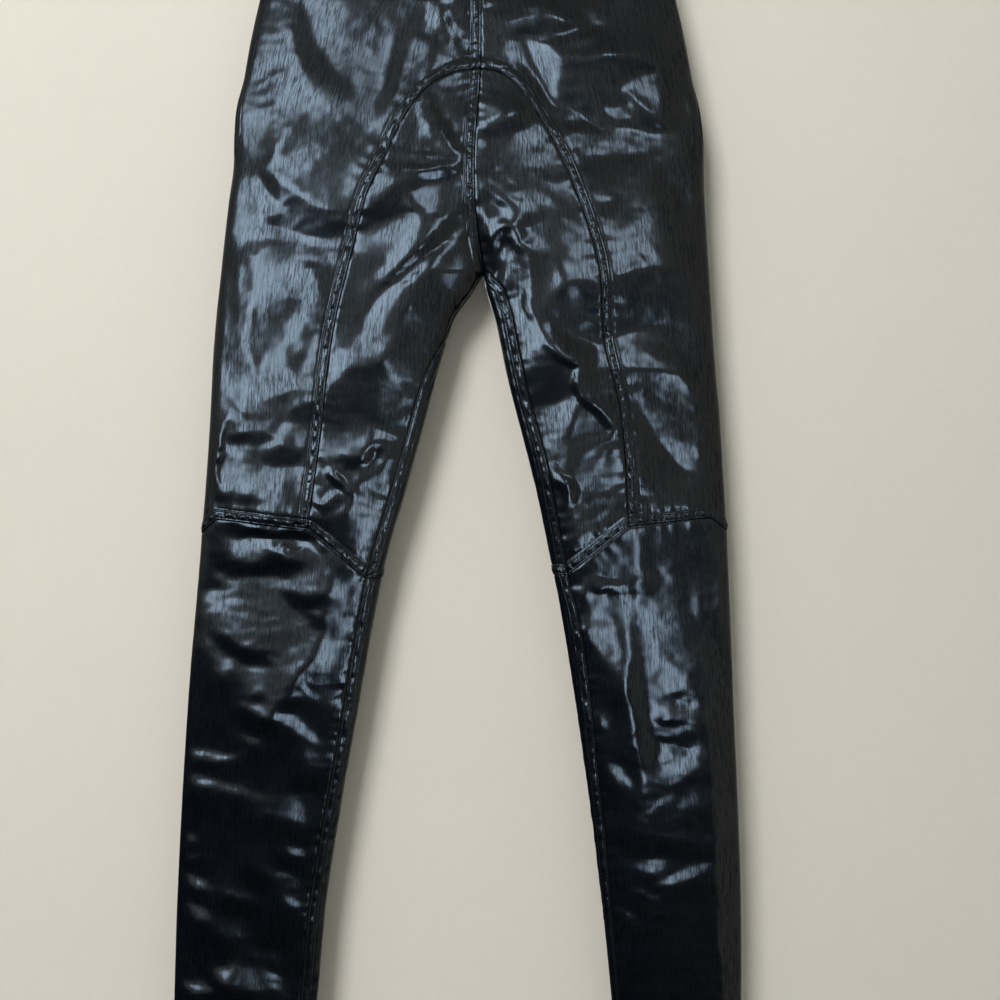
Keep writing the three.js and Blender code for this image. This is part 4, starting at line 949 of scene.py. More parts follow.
# %% [markdown]
# ## Lapped seams
#
# At a lapped seam the upper panel's edge is folded under and sewn down twice, so a band about 8.5 mm wide
# stands up. Thread pulls the cloth short: a groove runs along each row of stitches, and the band between them
# puckers like a ladder. The lower panel dips beside the edge. A `Seam` keeps close points of its line, so
# that any point of a panel can ask how far off it is and how far along.

# %% Seams
LAP_RAISE, LAP_WIDTH, ROWS = 0.8, 8.2, (1.7, 6.9)


class Seam:
    def __init__(self, name, line, seed):
        self.name, self.line = name, line
        self.count = max(2, int(line.length) + 1)
        self.points = line.at(np.linspace(0, 1, self.count))
        self.tree = KDTree(self.count)
        for k, (u, z) in enumerate(self.points):
            self.tree.insert((u, z, 0), k)
        self.tree.balance()
        run = np.arange(self.count)
        beat = lambda step, shift: np.array([noise.noise((t / step, seed * 3.7 + shift, 0.5)) for t in run])
        self.ladder = np.clip(beat(2.1, 0) * 2.6, -1, 1)
        self.pull = beat(6.5, 9) * 1.8

    def near(self, u, z):
        distance, place = np.empty(len(u)), np.empty(len(u), int)
        for k in range(len(u)):
            _, place[k], distance[k] = self.tree.find((u[k], z[k], 0))
        return distance, place

    def lap(self, u, z):
        """Height of the panel that is lapped over this seam."""
        d, k = self.near(u, z)
        band = 1 - smooth((d - LAP_WIDTH + 0.4) / 1.6)
        height = LAP_RAISE * band * mix(0.4, 1, smooth(d / 1.1))
        for row in ROWS:
            height -= 0.42 * np.exp(-(((d - row) / 0.62) ** 2))
        height += 0.6 * self.ladder[k] * np.exp(-(((d - 4.35) / 2.3) ** 2))
        height -= 0.28 * np.exp(-(((d - 9.6) / 1.0) ** 2))
        return height + 0.36 * self.pull[k] * np.where(d > 9, np.exp(-(d - 9) / 7), 0)

    def dip(self, u, z):
        """Height of the panel that lies under this seam."""
        d, k = self.near(u, z)
        return -0.4 * np.exp(-((d / 1.2) ** 2)) + 0.4 * self.pull[k] * np.exp(-d / 7)


# %% [markdown]
# ## Lines on the cloth
#
# A panel is cut along four lines. Each line is kept as close points on the flattened cloth, `(u, z)`, and is
# read by its share from 0 to 1, evenly along its length.

# %% Lines
class Line:
    def __init__(self, points):
        self.points = np.array(points, float)
        steps = np.hypot(*np.diff(self.points, axis=0).T)
        self.run = np.concatenate([[0], np.cumsum(steps)])
        self.length = self.run[-1]

    def at(self, share):
        travelled = np.asarray(share, float) * self.length
        return np.stack([np.interp(travelled, self.run, self.points[:, k]) for k in (0, 1)], -1)

    def part(self, start, end):
        return Line(self.at(np.linspace(start, end, max(3, int(abs(end - start) * self.length)))))

    def beside(self, distance):
        """The line moved square to itself."""
        travel = np.gradient(self.at(np.linspace(0, 1, max(3, int(self.length)))), axis=0)
        travel /= np.linalg.norm(travel, axis=1, keepdims=True)
        moved = self.at(np.linspace(0, 1, len(travel))) + distance * np.stack([-travel[:, 1], travel[:, 0]], 1)
        return Line(moved)


def joined(*lines):
    return Line(np.concatenate([lines[0].points] + [line.points[1:] for line in lines[1:]]))


def rounded(points, steps=40):
    """A smooth curve through a few points."""
    p = np.array([points[0], *points, points[-1]], float)
    out = []
    for i in range(1, len(p) - 2):
        for t in np.linspace(0, 1, steps, endpoint=False):
            v0, v1 = (p[i + 1] - p[i - 1]) / 2, (p[i + 2] - p[i]) / 2
            a, b = p[i], p[i + 1]
            out.append((2 * a - 2 * b + v0 + v1) * t**3 + (3 * b - 3 * a - 2 * v0 - v1) * t**2 + v0 * t + a)
    return Line(out + [p[-2]])


def laid_on(side, face, points):
    return [(float(cloth_place(side, face, x, z)), z) for x, z in points]


def down_line(place_at, top, bottom):
    z = np.linspace(top, bottom, max(3, int(abs(top - bottom) / 4)))
    return Line(np.stack([np.broadcast_to(place_at(z), z.shape), z], 1))


def level_line(start, end, z):
    return Line([(start, z), (end, z)])


ARCH = {
    "left": [(12.5, -119.5), (-8.5, -122.5), (-30, -133), (-49, -152), (-70.5, -191), (-90, -233), (-109, -303),
             (-124, -368), (-133, -442), (-147, -545)],
    "right": [(12.5, -119.5), (29.5, -123), (44, -133), (57, -150), (78.5, -184), (96, -222.5), (120, -295),
              (126, -368), (142, -442), (149, -541)],
}
KNEE = {
    "left": [(-248, -547.5), (-231, -534.5), (-147, -545), (-98, -589)],
    "right": [(242, -545), (224.5, -533), (149, -541), (97, -586)],
}
ARCH_CORNER, KNEE_BACK_DIP, ARCH_TOP_Z = 0.13, -14, -119.5


# %% [markdown]
# ## Cutting a panel
#
# A grid from `bmesh` is bent to the panel's four lines, so its rows follow the knee seam and its columns
# follow the side and the inseam. Cells are fine beside a lapped seam and wider on the open cloth. Then each
# point goes to its place in space, and a Solidify modifier gives the cloth its wall, with the uncoated back
# of the cloth on the inside.

# %% Grid to cloth
LAP_STEPS = [0, 0.5, 1.0, 1.4, 1.8, 2.3, 3.1, 4.0, 5.0, 5.9, 6.6, 7.1, 7.6, 8.2, 8.8, 9.5, 10.3, 11.2, 12.4]
PLAIN_STEPS = [0, 0.8, 1.8, 3.2]
EDGE_GAP = 0.12


def shares_along(length, step, start=PLAIN_STEPS, end=PLAIN_STEPS):
    """Shares of a length: given distances from both ends, and about `step` between."""
    whole = max(length, start[-1] + end[-1] + 3 * step)
    first, last = np.array(start) / whole, 1 - np.array(end)[::-1] / whole
    cells = max(2, round((last[0] - first[-1]) * whole / step))
    return np.concatenate([first, np.linspace(first[-1], last[0], cells + 1)[1:-1], last])


def grid_mesh(name, across, down):
    """A bmesh grid as a mesh, with each vertex's column and row."""
    bm = bmesh.new()
    bmesh.ops.create_grid(bm, x_segments=across, y_segments=down, size=1)
    mesh = bpy.data.meshes.new(name)
    bm.to_mesh(mesh)
    bm.free()
    flat = np.empty(len(mesh.vertices) * 3)
    mesh.vertices.foreach_get("co", flat)
    flat = flat.reshape(-1, 3)
    i = np.rint((flat[:, 0] + 1) / 2 * across).astype(int)
    j = np.rint((1 - flat[:, 1]) / 2 * down).astype(int)
    return mesh, i, j


def write_uv(mesh, uv):
    """uv of each vertex, in metres of cloth, as the UV map that the finishes read."""
    layer = mesh.uv_layers.new(name="cloth")
    corners = np.empty(len(mesh.loops), int)
    mesh.loops.foreach_get("vertex_index", corners)
    layer.data.foreach_set("uv", (uv[corners] * MM).ravel())


def wear_attribute(mesh, values):
    mesh.attributes.new("wear", "FLOAT", "POINT").data.foreach_set("value", values)


pieces = {}


def finish_piece(mesh, name, flip=False):
    if flip:
        mesh.flip_normals()
    mesh.shade_smooth()
    for _ in ("outside", "inside"):
        mesh.materials.append(None)
    piece = bpy.data.objects.new(name, mesh)
    bpy.context.collection.objects.link(piece)
    pieces[name] = piece
    return piece


def give_wall(piece, thickness):
    wall_modifier = piece.modifiers.new("wall", "SOLIDIFY")
    wall_modifier.thickness = thickness * MM
    wall_modifier.offset = -1
    wall_modifier.use_rim = True
    wall_modifier.material_offset = 1
    wall_modifier.material_offset_rim = 0
    solid = bpy.data.meshes.new_from_object(piece.evaluated_get(bpy.context.evaluated_depsgraph_get()))
    piece.modifiers.clear()
    thin = piece.data
    piece.data = solid
    bpy.data.meshes.remove(thin)
    solid.name = piece.name


class Panel:
    """One cut piece: its lines, the seams where it is lapped over and the seams where it lies under."""

    def __init__(self, name, side, face, top, bottom, outer, inner, laps=(), unders=(), fine=(), step=2.8):
        self.name, self.side, self.face = name, side, face
        self.top, self.bottom, self.outer, self.inner = top, bottom, outer, inner
        self.laps, self.unders, self.fine, self.step = laps, unders, fine, step

    def plan(self, s, v):
        """(u, z) at share s from outer to inner and v from top to bottom."""
        s, v = s[..., None], v[..., None]
        down = mix(self.outer.at(v[..., 0]), self.inner.at(v[..., 0]), s)
        over = mix(self.top.at(s[..., 0]), self.bottom.at(s[..., 0]), v)
        corners = mix(mix(self.outer.at(0.0), self.inner.at(0.0), s), mix(self.outer.at(1.0), self.inner.at(1.0), s), v)
        return down + over - corners

    def relief(self, u, z):
        height = np.zeros(len(u))
        for seam in self.laps:
            height += seam.lap(u, z)
        for seam in self.unders:
            height += seam.dip(u, z)
        return height

    def place(self, u, z, lift=0.0):
        """Points in space, in millimetres, with their outward normals and the relief there."""
        base, faces, from_edge = base_surface(self.side, self.face, u, z)
        normal = surface_normal(self.side, self.face, u, z)
        relief = self.relief(u, z)
        crumpled = crumple(self.side, faces, base[:, 0], z) * mix(0.25, 1, smooth(from_edge / 16))
        return base + normal * (crumpled + relief + lift)[:, None], normal, relief

    def make(self):
        lap, plain = LAP_STEPS, PLAIN_STEPS
        ends = {edge: (lap if edge in self.fine else plain) for edge in ("outer", "inner", "top", "bottom")}
        rows = shares_along(self.inner.length, self.step * 0.82, ends["top"], ends["bottom"])
        widest = max(self.top.length, self.bottom.length)
        across = len(shares_along(widest, self.step, ends["outer"], ends["inner"]))
        mesh, i, j = grid_mesh(self.name + "_cloth", across - 1, len(rows) - 1)
        v = rows[j]
        length = np.linalg.norm(self.outer.at(v) - self.inner.at(v), axis=1)
        length *= mix(self.top.length / length[j == 0][0], self.bottom.length / length[j == len(rows) - 1][0], v)
        start, end = np.array(ends["outer"], float), np.array(ends["inner"], float)
        whole = np.maximum(length, start[-1] + end[-1] + 8)
        middle = across - len(start) - len(end) + 2
        near_end = across - 1 - i
        from_start = start[np.minimum(i, len(start) - 1)] / whole
        from_end = 1 - end[np.minimum(near_end, len(end) - 1)] / whole
        share = np.clip((i - len(start) + 1) / (middle - 1), 0, 1)
        s = np.where(i < len(start), from_start, np.where(near_end < len(end), from_end,
                     mix(start[-1] / whole, 1 - end[-1] / whole, share)))
        inset_s, inset_v = EDGE_GAP / np.maximum(length, 1), EDGE_GAP / self.inner.length
        uv = self.plan(mix(inset_s, 1 - inset_s, s), mix(inset_v, 1 - inset_v, v))
        points, _, relief = self.place(uv[:, 0], uv[:, 1])
        mesh.vertices.foreach_set("co", (points * MM).ravel())
        write_uv(mesh, uv)
        wear_attribute(mesh, np.clip((relief - 0.55) * 1.6, 0, 1))
        normal_is_out = (self.side == "left") == (self.face == FRONT)
        piece = finish_piece(mesh, self.name + "_cloth", flip=not normal_is_out)
        self.flat = (float(length.max()), float(max(self.inner.length, self.outer.length)))
        quads = self.plan(*np.meshgrid(np.linspace(0, 1, 60), np.linspace(0, 1, 90)))
        a, b = np.diff(quads, axis=1)[:-1], np.diff(quads, axis=0)[:, :-1]
        self.area = float(np.abs(a[..., 0] * b[..., 1] - a[..., 1] * b[..., 0]).sum())
        give_wall(piece, 1.0)
        print(f"{self.name}: {len(piece.data.polygons)} faces, cut {self.flat[0]:.0f} x {self.flat[1]:.0f} mm,"
              f" {self.area / 100:.0f} cm2")
        return piece


# %% [markdown]
# ## The panels of one side
#
# The front is cut in three: hip and thigh, the inner piece under the arched seam, and the shin. The back is
# cut in two. The hip-and-thigh piece is lapped over the inner one, and both over the shin. At the centre the
# viewer's left is lapped over the right, as the fly closes. At the inseam the back is lapped over the front,
# so its doubly stitched band shows there.

# %% Panels
def front_inseam(side):
    """u of the inseam on the front, at any height."""
    inwards = -1 if side == "left" else 1
    return lambda z: cloth_place(side, FRONT, inner_edge[side](z) + inwards * inseam_wrap[side](z), z)


def back_inseam(side):
    return lambda z: span(side, BACK, z) + span(side, FRONT, z) - front_inseam(side)(z)


panels = {}
seams = {}


def add_seam(name, line):
    seams[name] = Seam(name, line, len(seams) + 1)
    return seams[name]


for side in SIDES:
    over_centre = side == "left"
    front_centre = lambda z, side=side: span(side, FRONT, z)
    back_centre = lambda z, side=side: span(side, BACK, z)
    gape = pocket_gape[side]
    knee_side, knee_peak, knee_arch, _ = laid_on(side, FRONT, KNEE[side])
    knee_inseam = (float(front_inseam(side)(KNEE[side][3][1])), KNEE[side][3][1])
    arch = rounded(laid_on(side, FRONT, ARCH[side]))
    knee_outer = Line([knee_side, knee_peak, knee_arch])
    knee_inner = Line([knee_arch, knee_inseam])
    fly_line = down_line(front_centre, PANEL_TOP_Z, ARCH_TOP_Z)
    centre_line = down_line(front_centre, ARCH_TOP_Z, CROTCH_Z)
    inseam_above = down_line(front_inseam(side), CROTCH_Z, knee_inseam[1])
    inseam_below = down_line(front_inseam(side), knee_inseam[1], HEM_Z)
    back_above = down_line(back_inseam(side), CROTCH_Z, knee_inseam[1])
    back_below = down_line(back_inseam(side), knee_inseam[1], HEM_Z)
    back_centre_line = down_line(back_centre, PANEL_TOP_Z, CROTCH_Z)
    back_end = float(back_inseam(side)(knee_inseam[1]))
    knee_back = rounded([
        (q * back_end, mix(knee_side[1], knee_inseam[1], q) + KNEE_BACK_DIP * math.sin(math.pi * q))
        for q in (0, 0.25, 0.5, 0.75, 1)
    ])
    centre = add_seam("centre_" + side, joined(fly_line, centre_line))
    arch_seam = add_seam("arch_" + side, arch)
    knee_outer_seam = add_seam("knee_outer_" + side, knee_outer)
    knee_inner_seam = add_seam("knee_inner_" + side, knee_inner)
    inseam_upper = add_seam("inseam_above_" + side, inseam_above)
    inseam_lower = add_seam("inseam_below_" + side, inseam_below)
    back_upper = add_seam("back_inseam_above_" + side, back_above)
    back_lower = add_seam("back_inseam_below_" + side, back_below)
    back_middle = add_seam("back_centre_" + side, back_centre_line)
    knee_back_seam = add_seam("knee_back_" + side, knee_back)

    panels["front_thigh_" + side] = Panel(
        "front_thigh_" + side, side, FRONT,
        top=level_line(float(gape(PANEL_TOP_Z)), float(front_centre(PANEL_TOP_Z)), PANEL_TOP_Z), bottom=knee_outer,
        outer=down_line(gape, PANEL_TOP_Z, knee_side[1]), inner=joined(fly_line, arch),
        laps=([centre] if over_centre else []) + [arch_seam, knee_outer_seam],
        unders=[] if over_centre else [centre], fine=("inner", "bottom"),
    )
    panels["front_inner_" + side] = Panel(
        "front_inner_" + side, side, FRONT,
        top=arch.part(ARCH_CORNER, 0), bottom=knee_inner,
        outer=arch.part(ARCH_CORNER, 1), inner=joined(centre_line, inseam_above),
        laps=([centre] if over_centre else []) + [knee_inner_seam],
        unders=([] if over_centre else [centre]) + [arch_seam, inseam_upper], fine=("inner", "bottom"), step=2.5,
    )
    panels["front_shin_" + side] = Panel(
        "front_shin_" + side, side, FRONT,
        top=Line([knee_side, knee_peak, knee_arch, knee_inseam]),
        bottom=level_line(0, float(front_inseam(side)(HEM_Z)), HEM_Z),
        outer=down_line(lambda z: 0 * z, knee_side[1], HEM_Z), inner=inseam_below,
        unders=[knee_outer_seam, knee_inner_seam, inseam_lower], fine=("inner",), step=2.6,
    )
    panels["back_thigh_" + side] = Panel(
        "back_thigh_" + side, side, BACK,
        top=level_line(0, float(back_centre(PANEL_TOP_Z)), PANEL_TOP_Z), bottom=knee_back,
        outer=down_line(lambda z: 0 * z, PANEL_TOP_Z, knee_side[1]), inner=joined(back_centre_line, back_above),
        laps=([back_middle] if over_centre else []) + [back_upper, knee_back_seam],
        unders=[] if over_centre else [back_middle], fine=("bottom", "inner"), step=3.4,
    )
    panels["back_calf_" + side] = Panel(
        "back_calf_" + side, side, BACK,
        top=knee_back, bottom=level_line(0, float(back_inseam(side)(HEM_Z)), HEM_Z),
        outer=down_line(lambda z: 0 * z, knee_side[1], HEM_Z), inner=back_below,
        laps=[back_lower], unders=[knee_back_seam], fine=("inner",), step=3.4,
    )

for panel in panels.values():
    piece = panel.make()
    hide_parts(panel.name)
    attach(piece, "root")

# %% [markdown]
# ## Waistband, hems and pocket facings
#
# The waistband is one folded strip that runs from the fly's edge round the back, and its far end passes
# under its near one. Each hem is turned up inside the leg. The facing behind each side pocket is the dark
# cloth that shows where the pocket gapes.

# %% Strips that follow the panels
def strip(name, stations, levels, wall, closed=False):
    """A sheet over stations (side, face, u at a height, lift) and levels (height, extra lift)."""
    mesh, i, j = grid_mesh(name, len(stations) - 1, len(levels) - 1)
    points = np.empty((len(i), 3))
    uv = np.empty((len(i), 2))
    run = 0.0
    previous = None
    for k, (side, face, u_at, lift) in enumerate(stations):
        here = i == k
        rows = j[here]
        z = np.array([levels[r][0] for r in rows], float)
        extra = np.array([levels[r][1] for r in rows], float)
        u = np.broadcast_to(np.asarray(u_at(z), float), z.shape)
        base, _, _ = base_surface(side, face, u, z)
        out = surface_normal(side, face, u, z)
        base = base + out * (lift + extra)[:, None]
        points[here] = base
        top = base[np.argmax(z)]
        run += 0 if previous is None else float(np.linalg.norm(top - previous))
        previous = top
        uv[here] = np.stack([np.full(z.shape, run), z], 1)
    mesh.vertices.foreach_set("co", (points * MM).ravel())
    write_uv(mesh, uv)
    wear_attribute(mesh, np.zeros(len(i)))
    return mesh, run


def quarter(side, face, inward, step=3.0, start=0.0, end=0.0):
    """Stations from the outer edge to the centre, or back."""
    length = float(span(side, face, -BAND_HEIGHT / 2))
    shares = np.linspace(0, 1, int(length / step))
    shares = shares if inward else shares[::-1]
    return [(side, face, (lambda z, q=q, side=side, face=face: q * span(side, face, z)), 0.0) for q in shares]


# %% Waistband
BAND_WALL = 2.2
band_levels = [(0.0, 0.1), (-0.5, 0.7), (-1.4, 0.98)] + [(z, 1.0) for z in np.arange(-3, -35.5, -1.0)] + [
    (-36.4, 1.0), (-37.3, 0.85), (-37.9, 0.3)]
groove = lambda z: 0.35 * math.exp(-(((z + 2.2) / 0.6) ** 2)) + 0.35 * math.exp(-(((z + 35.8) / 0.6) ** 2))
band_levels = [(z, lift - groove(z)) for z, lift in band_levels]
stations = quarter("left", FRONT, False) + quarter("left", BACK, True)[1:]
stations += quarter("right", BACK, False)[1:] + quarter("right", FRONT, True)[1:-2]
DIVE = BAND_WALL + 0.7
for back, sunk in ((6, 0.0), (4.5, 0.15), (3.2, 0.5), (2.0, 0.85), (0.9, 1.0)):
    stations.append(("right", FRONT, (lambda z, b=back: span("right", FRONT, z) - b), -DIVE * sunk))
for back in np.arange(1.0, 34.5, 3.0):
    stations.append(("left", FRONT, (lambda z, b=back: span("left", FRONT, z) - b), -DIVE))
mesh, band_length = strip("waistband", stations, band_levels, BAND_WALL)
waistband = finish_piece(mesh, "waistband_cloth", flip=True)
give_wall(waistband, BAND_WALL - 0.1)
print("waistband: strip", round(band_length), "x", 2 * BAND_HEIGHT, "mm")


def around_leg(side, step=4.0):
    length = float(span(side, FRONT, HEM_Z))
    shares = np.linspace(0, 2, int(2 * length / step))
    out = []
    for q in shares:
        face = FRONT if q <= 1 else BACK
        share = q if q <= 1 else 2 - q
        out.append((side, face, (lambda z, s=share, f=face: s * span(side, f, z)), 0.0))
    return out


hems, facings = {}, {}
for side in SIDES:
    sink = -1.75
    levels = [(HEM_Z + 0.4, sink), (HEM_Z + 1.5, sink)] + [(HEM_Z + h, sink) for h in np.arange(3, 14.1, 2.2)]
    mesh, hem_run = strip("hem_" + side, around_leg(side), levels[::-1], 1.0)
    bm = bmesh.new()
    bm.from_mesh(mesh)
    bmesh.ops.remove_doubles(bm, verts=bm.verts, dist=0.00002)
    bm.to_mesh(mesh)
    bm.free()
    hems[side] = finish_piece(mesh, "hem_cloth_" + side, flip=side == "right")
    give_wall(hems[side], 0.9)
    margin_top, margin_bottom = -46, -198
    heights = np.linspace(margin_top, margin_bottom, 62)
    cross = [2.4, 3.4, 5, 7, 9, 11, 13, 15, 17.5, 20, 23, 26, 29, 32, 35, 38.5, 42]
    facing_stations = [
        (side, FRONT, (lambda z, u=u: u + 0 * z), -(1.0 + 0.6 + 3.2 * float(smooth(u / 16)))) for u in cross
    ]
    mesh, facing_run = strip("pocket_facing_" + side, facing_stations, [(z, 0.0) for z in heights], 1.0)
    facings[side] = finish_piece(mesh, "pocket_facing_cloth_" + side, flip=side == "right")
    give_wall(facings[side], 1.0)
    print(side, "hem round", round(hem_run), "mm; facing", round(facing_run), "mm wide")

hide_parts("waistband")
for side in SIDES:
    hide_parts("hem_" + side)
    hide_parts("pocket_facing_" + side)
for piece in (waistband, *hems.values(), *facings.values()):
    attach(piece, "root")

# %% [markdown]
# ## Stitches
#
# One stitch is a short thread that dives into the cloth at both ends: a small tube from `bmesh`, bent down at
# its ends. It is copied along every row, each copy turned and bent to the cloth under it, and joined into one
# mesh for each seam.

# %% One stitch
STITCH, PITCH, THREAD = 2.7, 3.3, 0.34


def stitch_template(length):
    bm = bmesh.new()
    bmesh.ops.create_cone(bm, cap_ends=True, segments=6, radius1=THREAD, radius2=THREAD, depth=length)
    sides = [e for e in bm.edges if abs(e.verts[0].co.z - e.verts[1].co.z) > length / 2]
    bmesh.ops.subdivide_edges(bm, edges=sides, cuts=3)
    for v in bm.verts:
        t = v.co.z / (length / 2)
        v.co.y -= 0.55 * t**4
        v.co.xy *= 1 - 0.3 * t * t
    mesh = bpy.data.meshes.new("stitch")
    bm.to_mesh(mesh)
    bm.free()
    flat = np.empty(len(mesh.vertices) * 3)
    mesh.vertices.foreach_get("co", flat)
    return mesh, flat.reshape(-1, 3)


def sew(name, runs, pitch=PITCH, length=STITCH):
    """Stitches along runs of (points, normals) in millimetres, joined into one piece."""
    template, shape = stitch_template(length)
    copy = template.copy()
    bm = bmesh.new()
    count = 0
    for points, normals in runs:
        travelled = np.concatenate([[0], np.cumsum(np.linalg.norm(np.diff(points, axis=0), axis=1))])
        number = int(travelled[-1] / pitch)
        for k in range(number):
            middle = (k + 0.5) * pitch
            ends = [np.array([np.interp(m, travelled, points[:, a]) for a in range(3)])
                    for m in (middle - length / 2, middle, middle + length / 2)]
            normal = np.array([np.interp(middle, travelled, normals[:, a]) for a in range(3)])
            normal /= np.linalg.norm(normal)
            along = ends[2] - ends[0]
            along /= np.linalg.norm(along)
            aside = np.cross(normal, along)
            normal = np.cross(along, aside)
            wobble = random.uniform(-0.1, 0.1)
            placed = shape[:, :1] * aside + shape[:, 1:2] * normal + shape[:, 2:] * (along + wobble * aside)
            copy.vertices.foreach_set("co", ((placed + ends[1] + normal * 0.12) * MM).ravel())
            bm.from_mesh(copy)
            count += 1
    mesh = bpy.data.meshes.new(name)
    bmesh.ops.recalc_face_normals(bm, faces=bm.faces)
    bm.to_mesh(mesh)
    bm.free()
    piece = finish_piece(mesh, name)
    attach(piece, "root")
    print(name, "stitches:", count)
    return piece


# %% Rows beside each seam
def row_beside(panel, line, distance, trim=(0.0, 0.0), lift=0.0):
    """Points and normals of a row of stitching on a panel, at a distance from one of its lines."""
    centre = panel.plan(np.array([0.5]), np.array([0.5]))[0]
    middle = line.at(0.5)
    tries = [line.beside(d) for d in (distance, -distance)]
    moved = min(tries, key=lambda t: np.linalg.norm(t.at(0.5) - centre) - np.linalg.norm(middle - centre))
    start, end = trim[0] / moved.length, 1 - trim[1] / moved.length
    uv = moved.at(np.linspace(start, end, max(4, int(moved.length * (end - start) / 1.1))))
    points, normals, _ = panel.place(uv[:, 0], uv[:, 1], lift)
    return points, normals


threads = []
for side in SIDES:
    thigh, inner, shin = (panels[p + side] for p in ("front_thigh_", "front_inner_", "front_shin_"))
    back_thigh, back_calf = panels["back_thigh_" + side], panels["back_calf_" + side]
    arch = seams["arch_" + side].line
    threads.append(sew("stitches_arch_" + side, [row_beside(thigh, arch, d, (6, 9)) for d in ROWS]))
    knee_rows = [row_beside(thigh, seams["knee_outer_" + side].line, d, (2, 2)) for d in ROWS]
    knee_rows += [row_beside(inner, seams["knee_inner_" + side].line, d, (1, 2)) for d in ROWS]
    threads.append(sew("stitches_knee_" + side, knee_rows))
    inseam_rows = [row_beside(back_thigh, seams["back_inseam_above_" + side].line, d, (3, 1)) for d in ROWS]
    inseam_rows += [row_beside(back_calf, seams["back_inseam_below_" + side].line, d, (1, 1)) for d in ROWS]
    threads.append(sew("stitches_inseam_" + side, inseam_rows))
    back_rows = [row_beside(back_thigh, seams["knee_back_" + side].line, d, (2, 9)) for d in ROWS]
    if side == "left":
        back_rows += [row_beside(back_thigh, seams["back_centre_left"].line, d, (1, 2)) for d in ROWS]
    threads.append(sew("stitches_back_" + side, back_rows))

    hem_line = level_line(2, float(front_inseam(side)(HEM_Z + 12)) - 2, HEM_Z + 12)
    back_hem = level_line(2, float(back_inseam(side)(HEM_Z + 12)) - 2, HEM_Z + 12)
    hem_rows = []
    for panel, line in ((shin, hem_line), (back_calf, back_hem)):
        uv = line.at(np.linspace(0, 1, 120))
        hem_rows.append(panel.place(uv[:, 0], uv[:, 1])[:2])
    threads.append(sew("stitches_hem_" + side, hem_rows))

# %% The fly, the waistband and the pockets
left_thigh = panels["front_thigh_left"]
centre_rows = [row_beside(left_thigh, fly_part, d, (2, 2)) for fly_part in
               [down_line(lambda z: span("left", FRONT, z), PANEL_TOP_Z, ARCH_TOP_Z)] for d in ROWS]
centre_rows += [row_beside(panels["front_inner_left"],
                down_line(lambda z: span("left", FRONT, z), ARCH_TOP_Z, CROTCH_Z), d, (9, 6)) for d in ROWS]
FLY_CURVE = [(-29, -40), (-26, -60), (-17, -80), (-5.5, -94), (5, -99)]
fly = rounded(laid_on("left", FRONT, FLY_CURVE))
for offset in (0.0, 4.6):
    uv = fly.beside(-offset).at(np.linspace(0, 1, 80))
    centre_rows.append(left_thigh.place(uv[:, 0], uv[:, 1])[:2])
threads.append(sew("stitches_centre", centre_rows))

band_rows = []
for z in (-2.2, -35.8):
    row = []
    for side, face, u_at, lift in stations[: len(stations) - 12]:
        u = np.atleast_1d(u_at(np.array([z], float)))
        base, _, _ = base_surface(side, face, u, np.array([z], float))
        out = surface_normal(side, face, u, np.array([z], float))
        row.append((base[0] + out[0] * (0.72 + lift), out[0]))
    band_rows.append((np.array([p for p, _ in row]), np.array([n for _, n in row])))
threads.append(sew("stitches_waistband", band_rows))


# %% Bartacks
def bartack(panel, x, z, length, slant):
    """Close stitches across a short bar, at a point seen from the front."""
    rows = []
    for k in np.arange(-length / 2, length / 2, 0.62):
        ends = [(x + k * math.cos(slant) + w * math.sin(slant), z + k * math.sin(slant) - w * math.cos(slant))
                for w in (-1.3, 0, 1.3)]
        uv = np.array(laid_on(panel.side, FRONT, ends))
        rows.append(panel.place(uv[:, 0], uv[:, 1], 0.15)[:2])
    return rows


tacks = bartack(left_thigh, 6.5, -75, 9, math.radians(80)) + bartack(left_thigh, 7, -97, 7, math.radians(10))
for side, x, z in (("left", -213, -203), ("right", 214, -204), ("left", -190, -52), ("right", 191, -52)):
    tacks += bartack(panels["front_thigh_" + side], x, z, 8, math.radians(75 if x > 0 else 105))
threads.append(sew("stitches_bartacks", tacks, pitch=2.5, length=2.5))

# %% [markdown]
# ## Finishes
#
# The cloth is a knit with a thick glossy coat. Uneven yarns show through it as upright streaks, so the
# shine is broken into fine lines that follow the leg. The coat is thinner on them, and worn a little
# where the seams stand up. Inside, the cloth is bare and matt. The pattern reads the cloth's own UV map in
# metres, so it follows the leg and never stretches.

# %% Coated cloth
coated = Finish("coated_cloth", Specular_IOR_Level=0.14, Coat_Roughness=0.135, Coat_IOR=1.62)
place = coated.node("ShaderNodeUVMap", {"uv_map": "cloth"})
wear = coated.node("ShaderNodeAttribute", {"attribute_name": "wear"}, output=2)
slub = coated.noise(coated.stretched(place, 480, 34), detail=4, roughness=0.65)
yarn = coated.noise(coated.stretched(place, 1150, 110), detail=2, roughness=0.6)
patch = coated.noise(coated.stretched(place, 34, 20), detail=3)
grain = coated.noise(coated.stretched(place, 950, 700), detail=3)
dent = coated.noise(coated.stretched(place, 85, 60), detail=2)
streak = (slub * 0.5 + yarn * 0.5).between(0.44, 0.58)
thin = streak * (0.45 + 0.55 * patch.between(0.35, 0.62))
colour = coated.mix(thin * 0.6 + wear * 0.25, (0.0014, 0.0019, 0.0034, 1), (0.0045, 0.006, 0.0095, 1))
relief = (slub * 0.5 + yarn * 0.35 + grain * 0.34) * (0.65 + 0.7 * patch) + dent * 0.8
cloth_material = coated.shade(
    Base_Color=colour,
    Roughness=0.3 + thin * 0.1 + wear * 0.06,
    Coat_Weight=1.0 - thin * 0.8,
    Normal=coated.bump(relief, 0.0005),
)

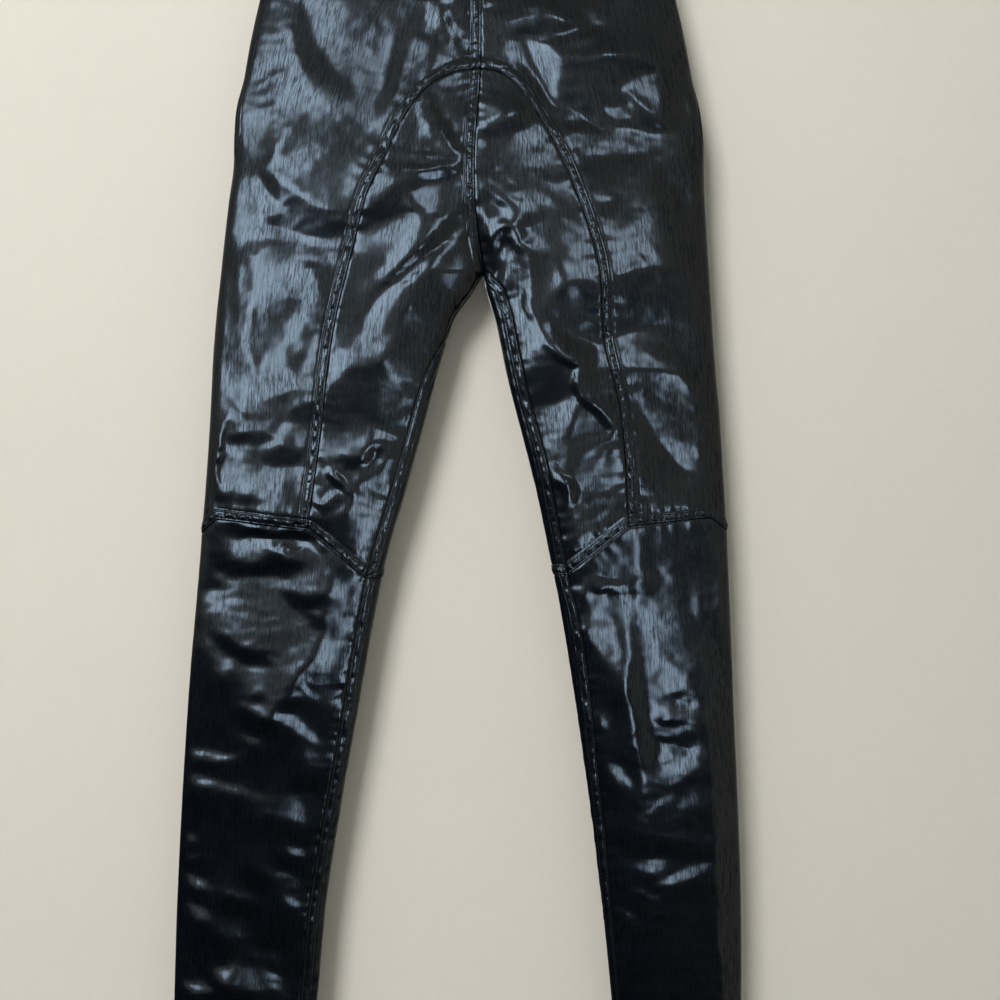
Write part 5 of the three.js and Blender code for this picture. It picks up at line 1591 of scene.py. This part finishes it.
# %% Bare side, thread and button
bare = Finish("bare_cloth", Roughness=0.85, Specular_IOR_Level=0.25)
place = bare.node("ShaderNodeUVMap", {"uv_map": "cloth"})
loops = bare.node("ShaderNodeTexWave", {"wave_type": "BANDS", "bands_direction": "X"},
                  Vector=bare.stretched(place, 900, 900), Scale=1.0, Distortion=1.5, Detail=2.0)
fuzz = bare.noise(bare.stretched(place, 1500, 1500), detail=3)
bare_material = bare.shade(
    Base_Color=bare.mix(fuzz, (0.010, 0.011, 0.014, 1), (0.026, 0.028, 0.033, 1)),
    Normal=bare.bump(loops * 0.6 + fuzz * 0.4, 0.00015),
)

thread = Finish("thread", Roughness=0.42, Specular_IOR_Level=0.5)
where = thread.node("ShaderNodeTexCoord", output=3)
twist = thread.node("ShaderNodeTexWave", {"wave_type": "BANDS", "bands_direction": "DIAGONAL"},
                    Vector=thread.stretched(where, 2600, 2600, 2600), Scale=1.0, Distortion=0.6)
shade_of = thread.noise(thread.stretched(where, 300, 300, 300))
thread_material = thread.shade(
    Base_Color=thread.mix(shade_of, (0.007, 0.009, 0.015, 1), (0.018, 0.022, 0.032, 1)),
    Normal=thread.bump(twist, 0.00006),
)

metal = Finish("button_metal", Metallic=1.0)
where = metal.node("ShaderNodeTexCoord", output=3)
scuff = metal.noise(metal.stretched(where, 900, 900, 900), detail=4)
metal_material = metal.shade(
    Base_Color=metal.mix(scuff.between(0.45, 0.7), (0.10, 0.105, 0.115, 1), (0.24, 0.24, 0.25, 1)),
    Roughness=0.24 + scuff * 0.2,
    Normal=metal.bump(scuff, 0.00005),
)

for name, piece in pieces.items():
    is_sewing = name.startswith("stitches")
    piece.data.materials[0] = thread_material if is_sewing else cloth_material
    piece.data.materials[1] = thread_material if is_sewing else bare_material
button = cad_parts["waist_button"]
for slot in button.material_slots:
    slot.material = metal_material
print("materials:", sorted(m.name for m in bpy.data.materials))

# %% [markdown]
# ## What each sheet hangs from
#
# Each panel prints the size it was cut to as it is made. Here the piece that each panel hangs from is named and each
# hem's round is worked out, but nothing is done with them.

# %% Sheets and what they hang from
HANGS_FROM = {"front_inner_": "front_thigh_", "front_shin_": "front_thigh_", "back_calf_": "back_thigh_"}
for name, panel in panels.items():
    above = HANGS_FROM.get(name.removesuffix(panel.side))
    hung_from = above + panel.side + "_cloth" if above else "waistband_cloth"
    pieces[name + "_cloth"]
band_length * MM
for side in SIDES:
    around = 2 * float(span(side, FRONT, HEM_Z))
    "front_shin_" + side + "_cloth"
    "front_thigh_" + side + "_cloth"

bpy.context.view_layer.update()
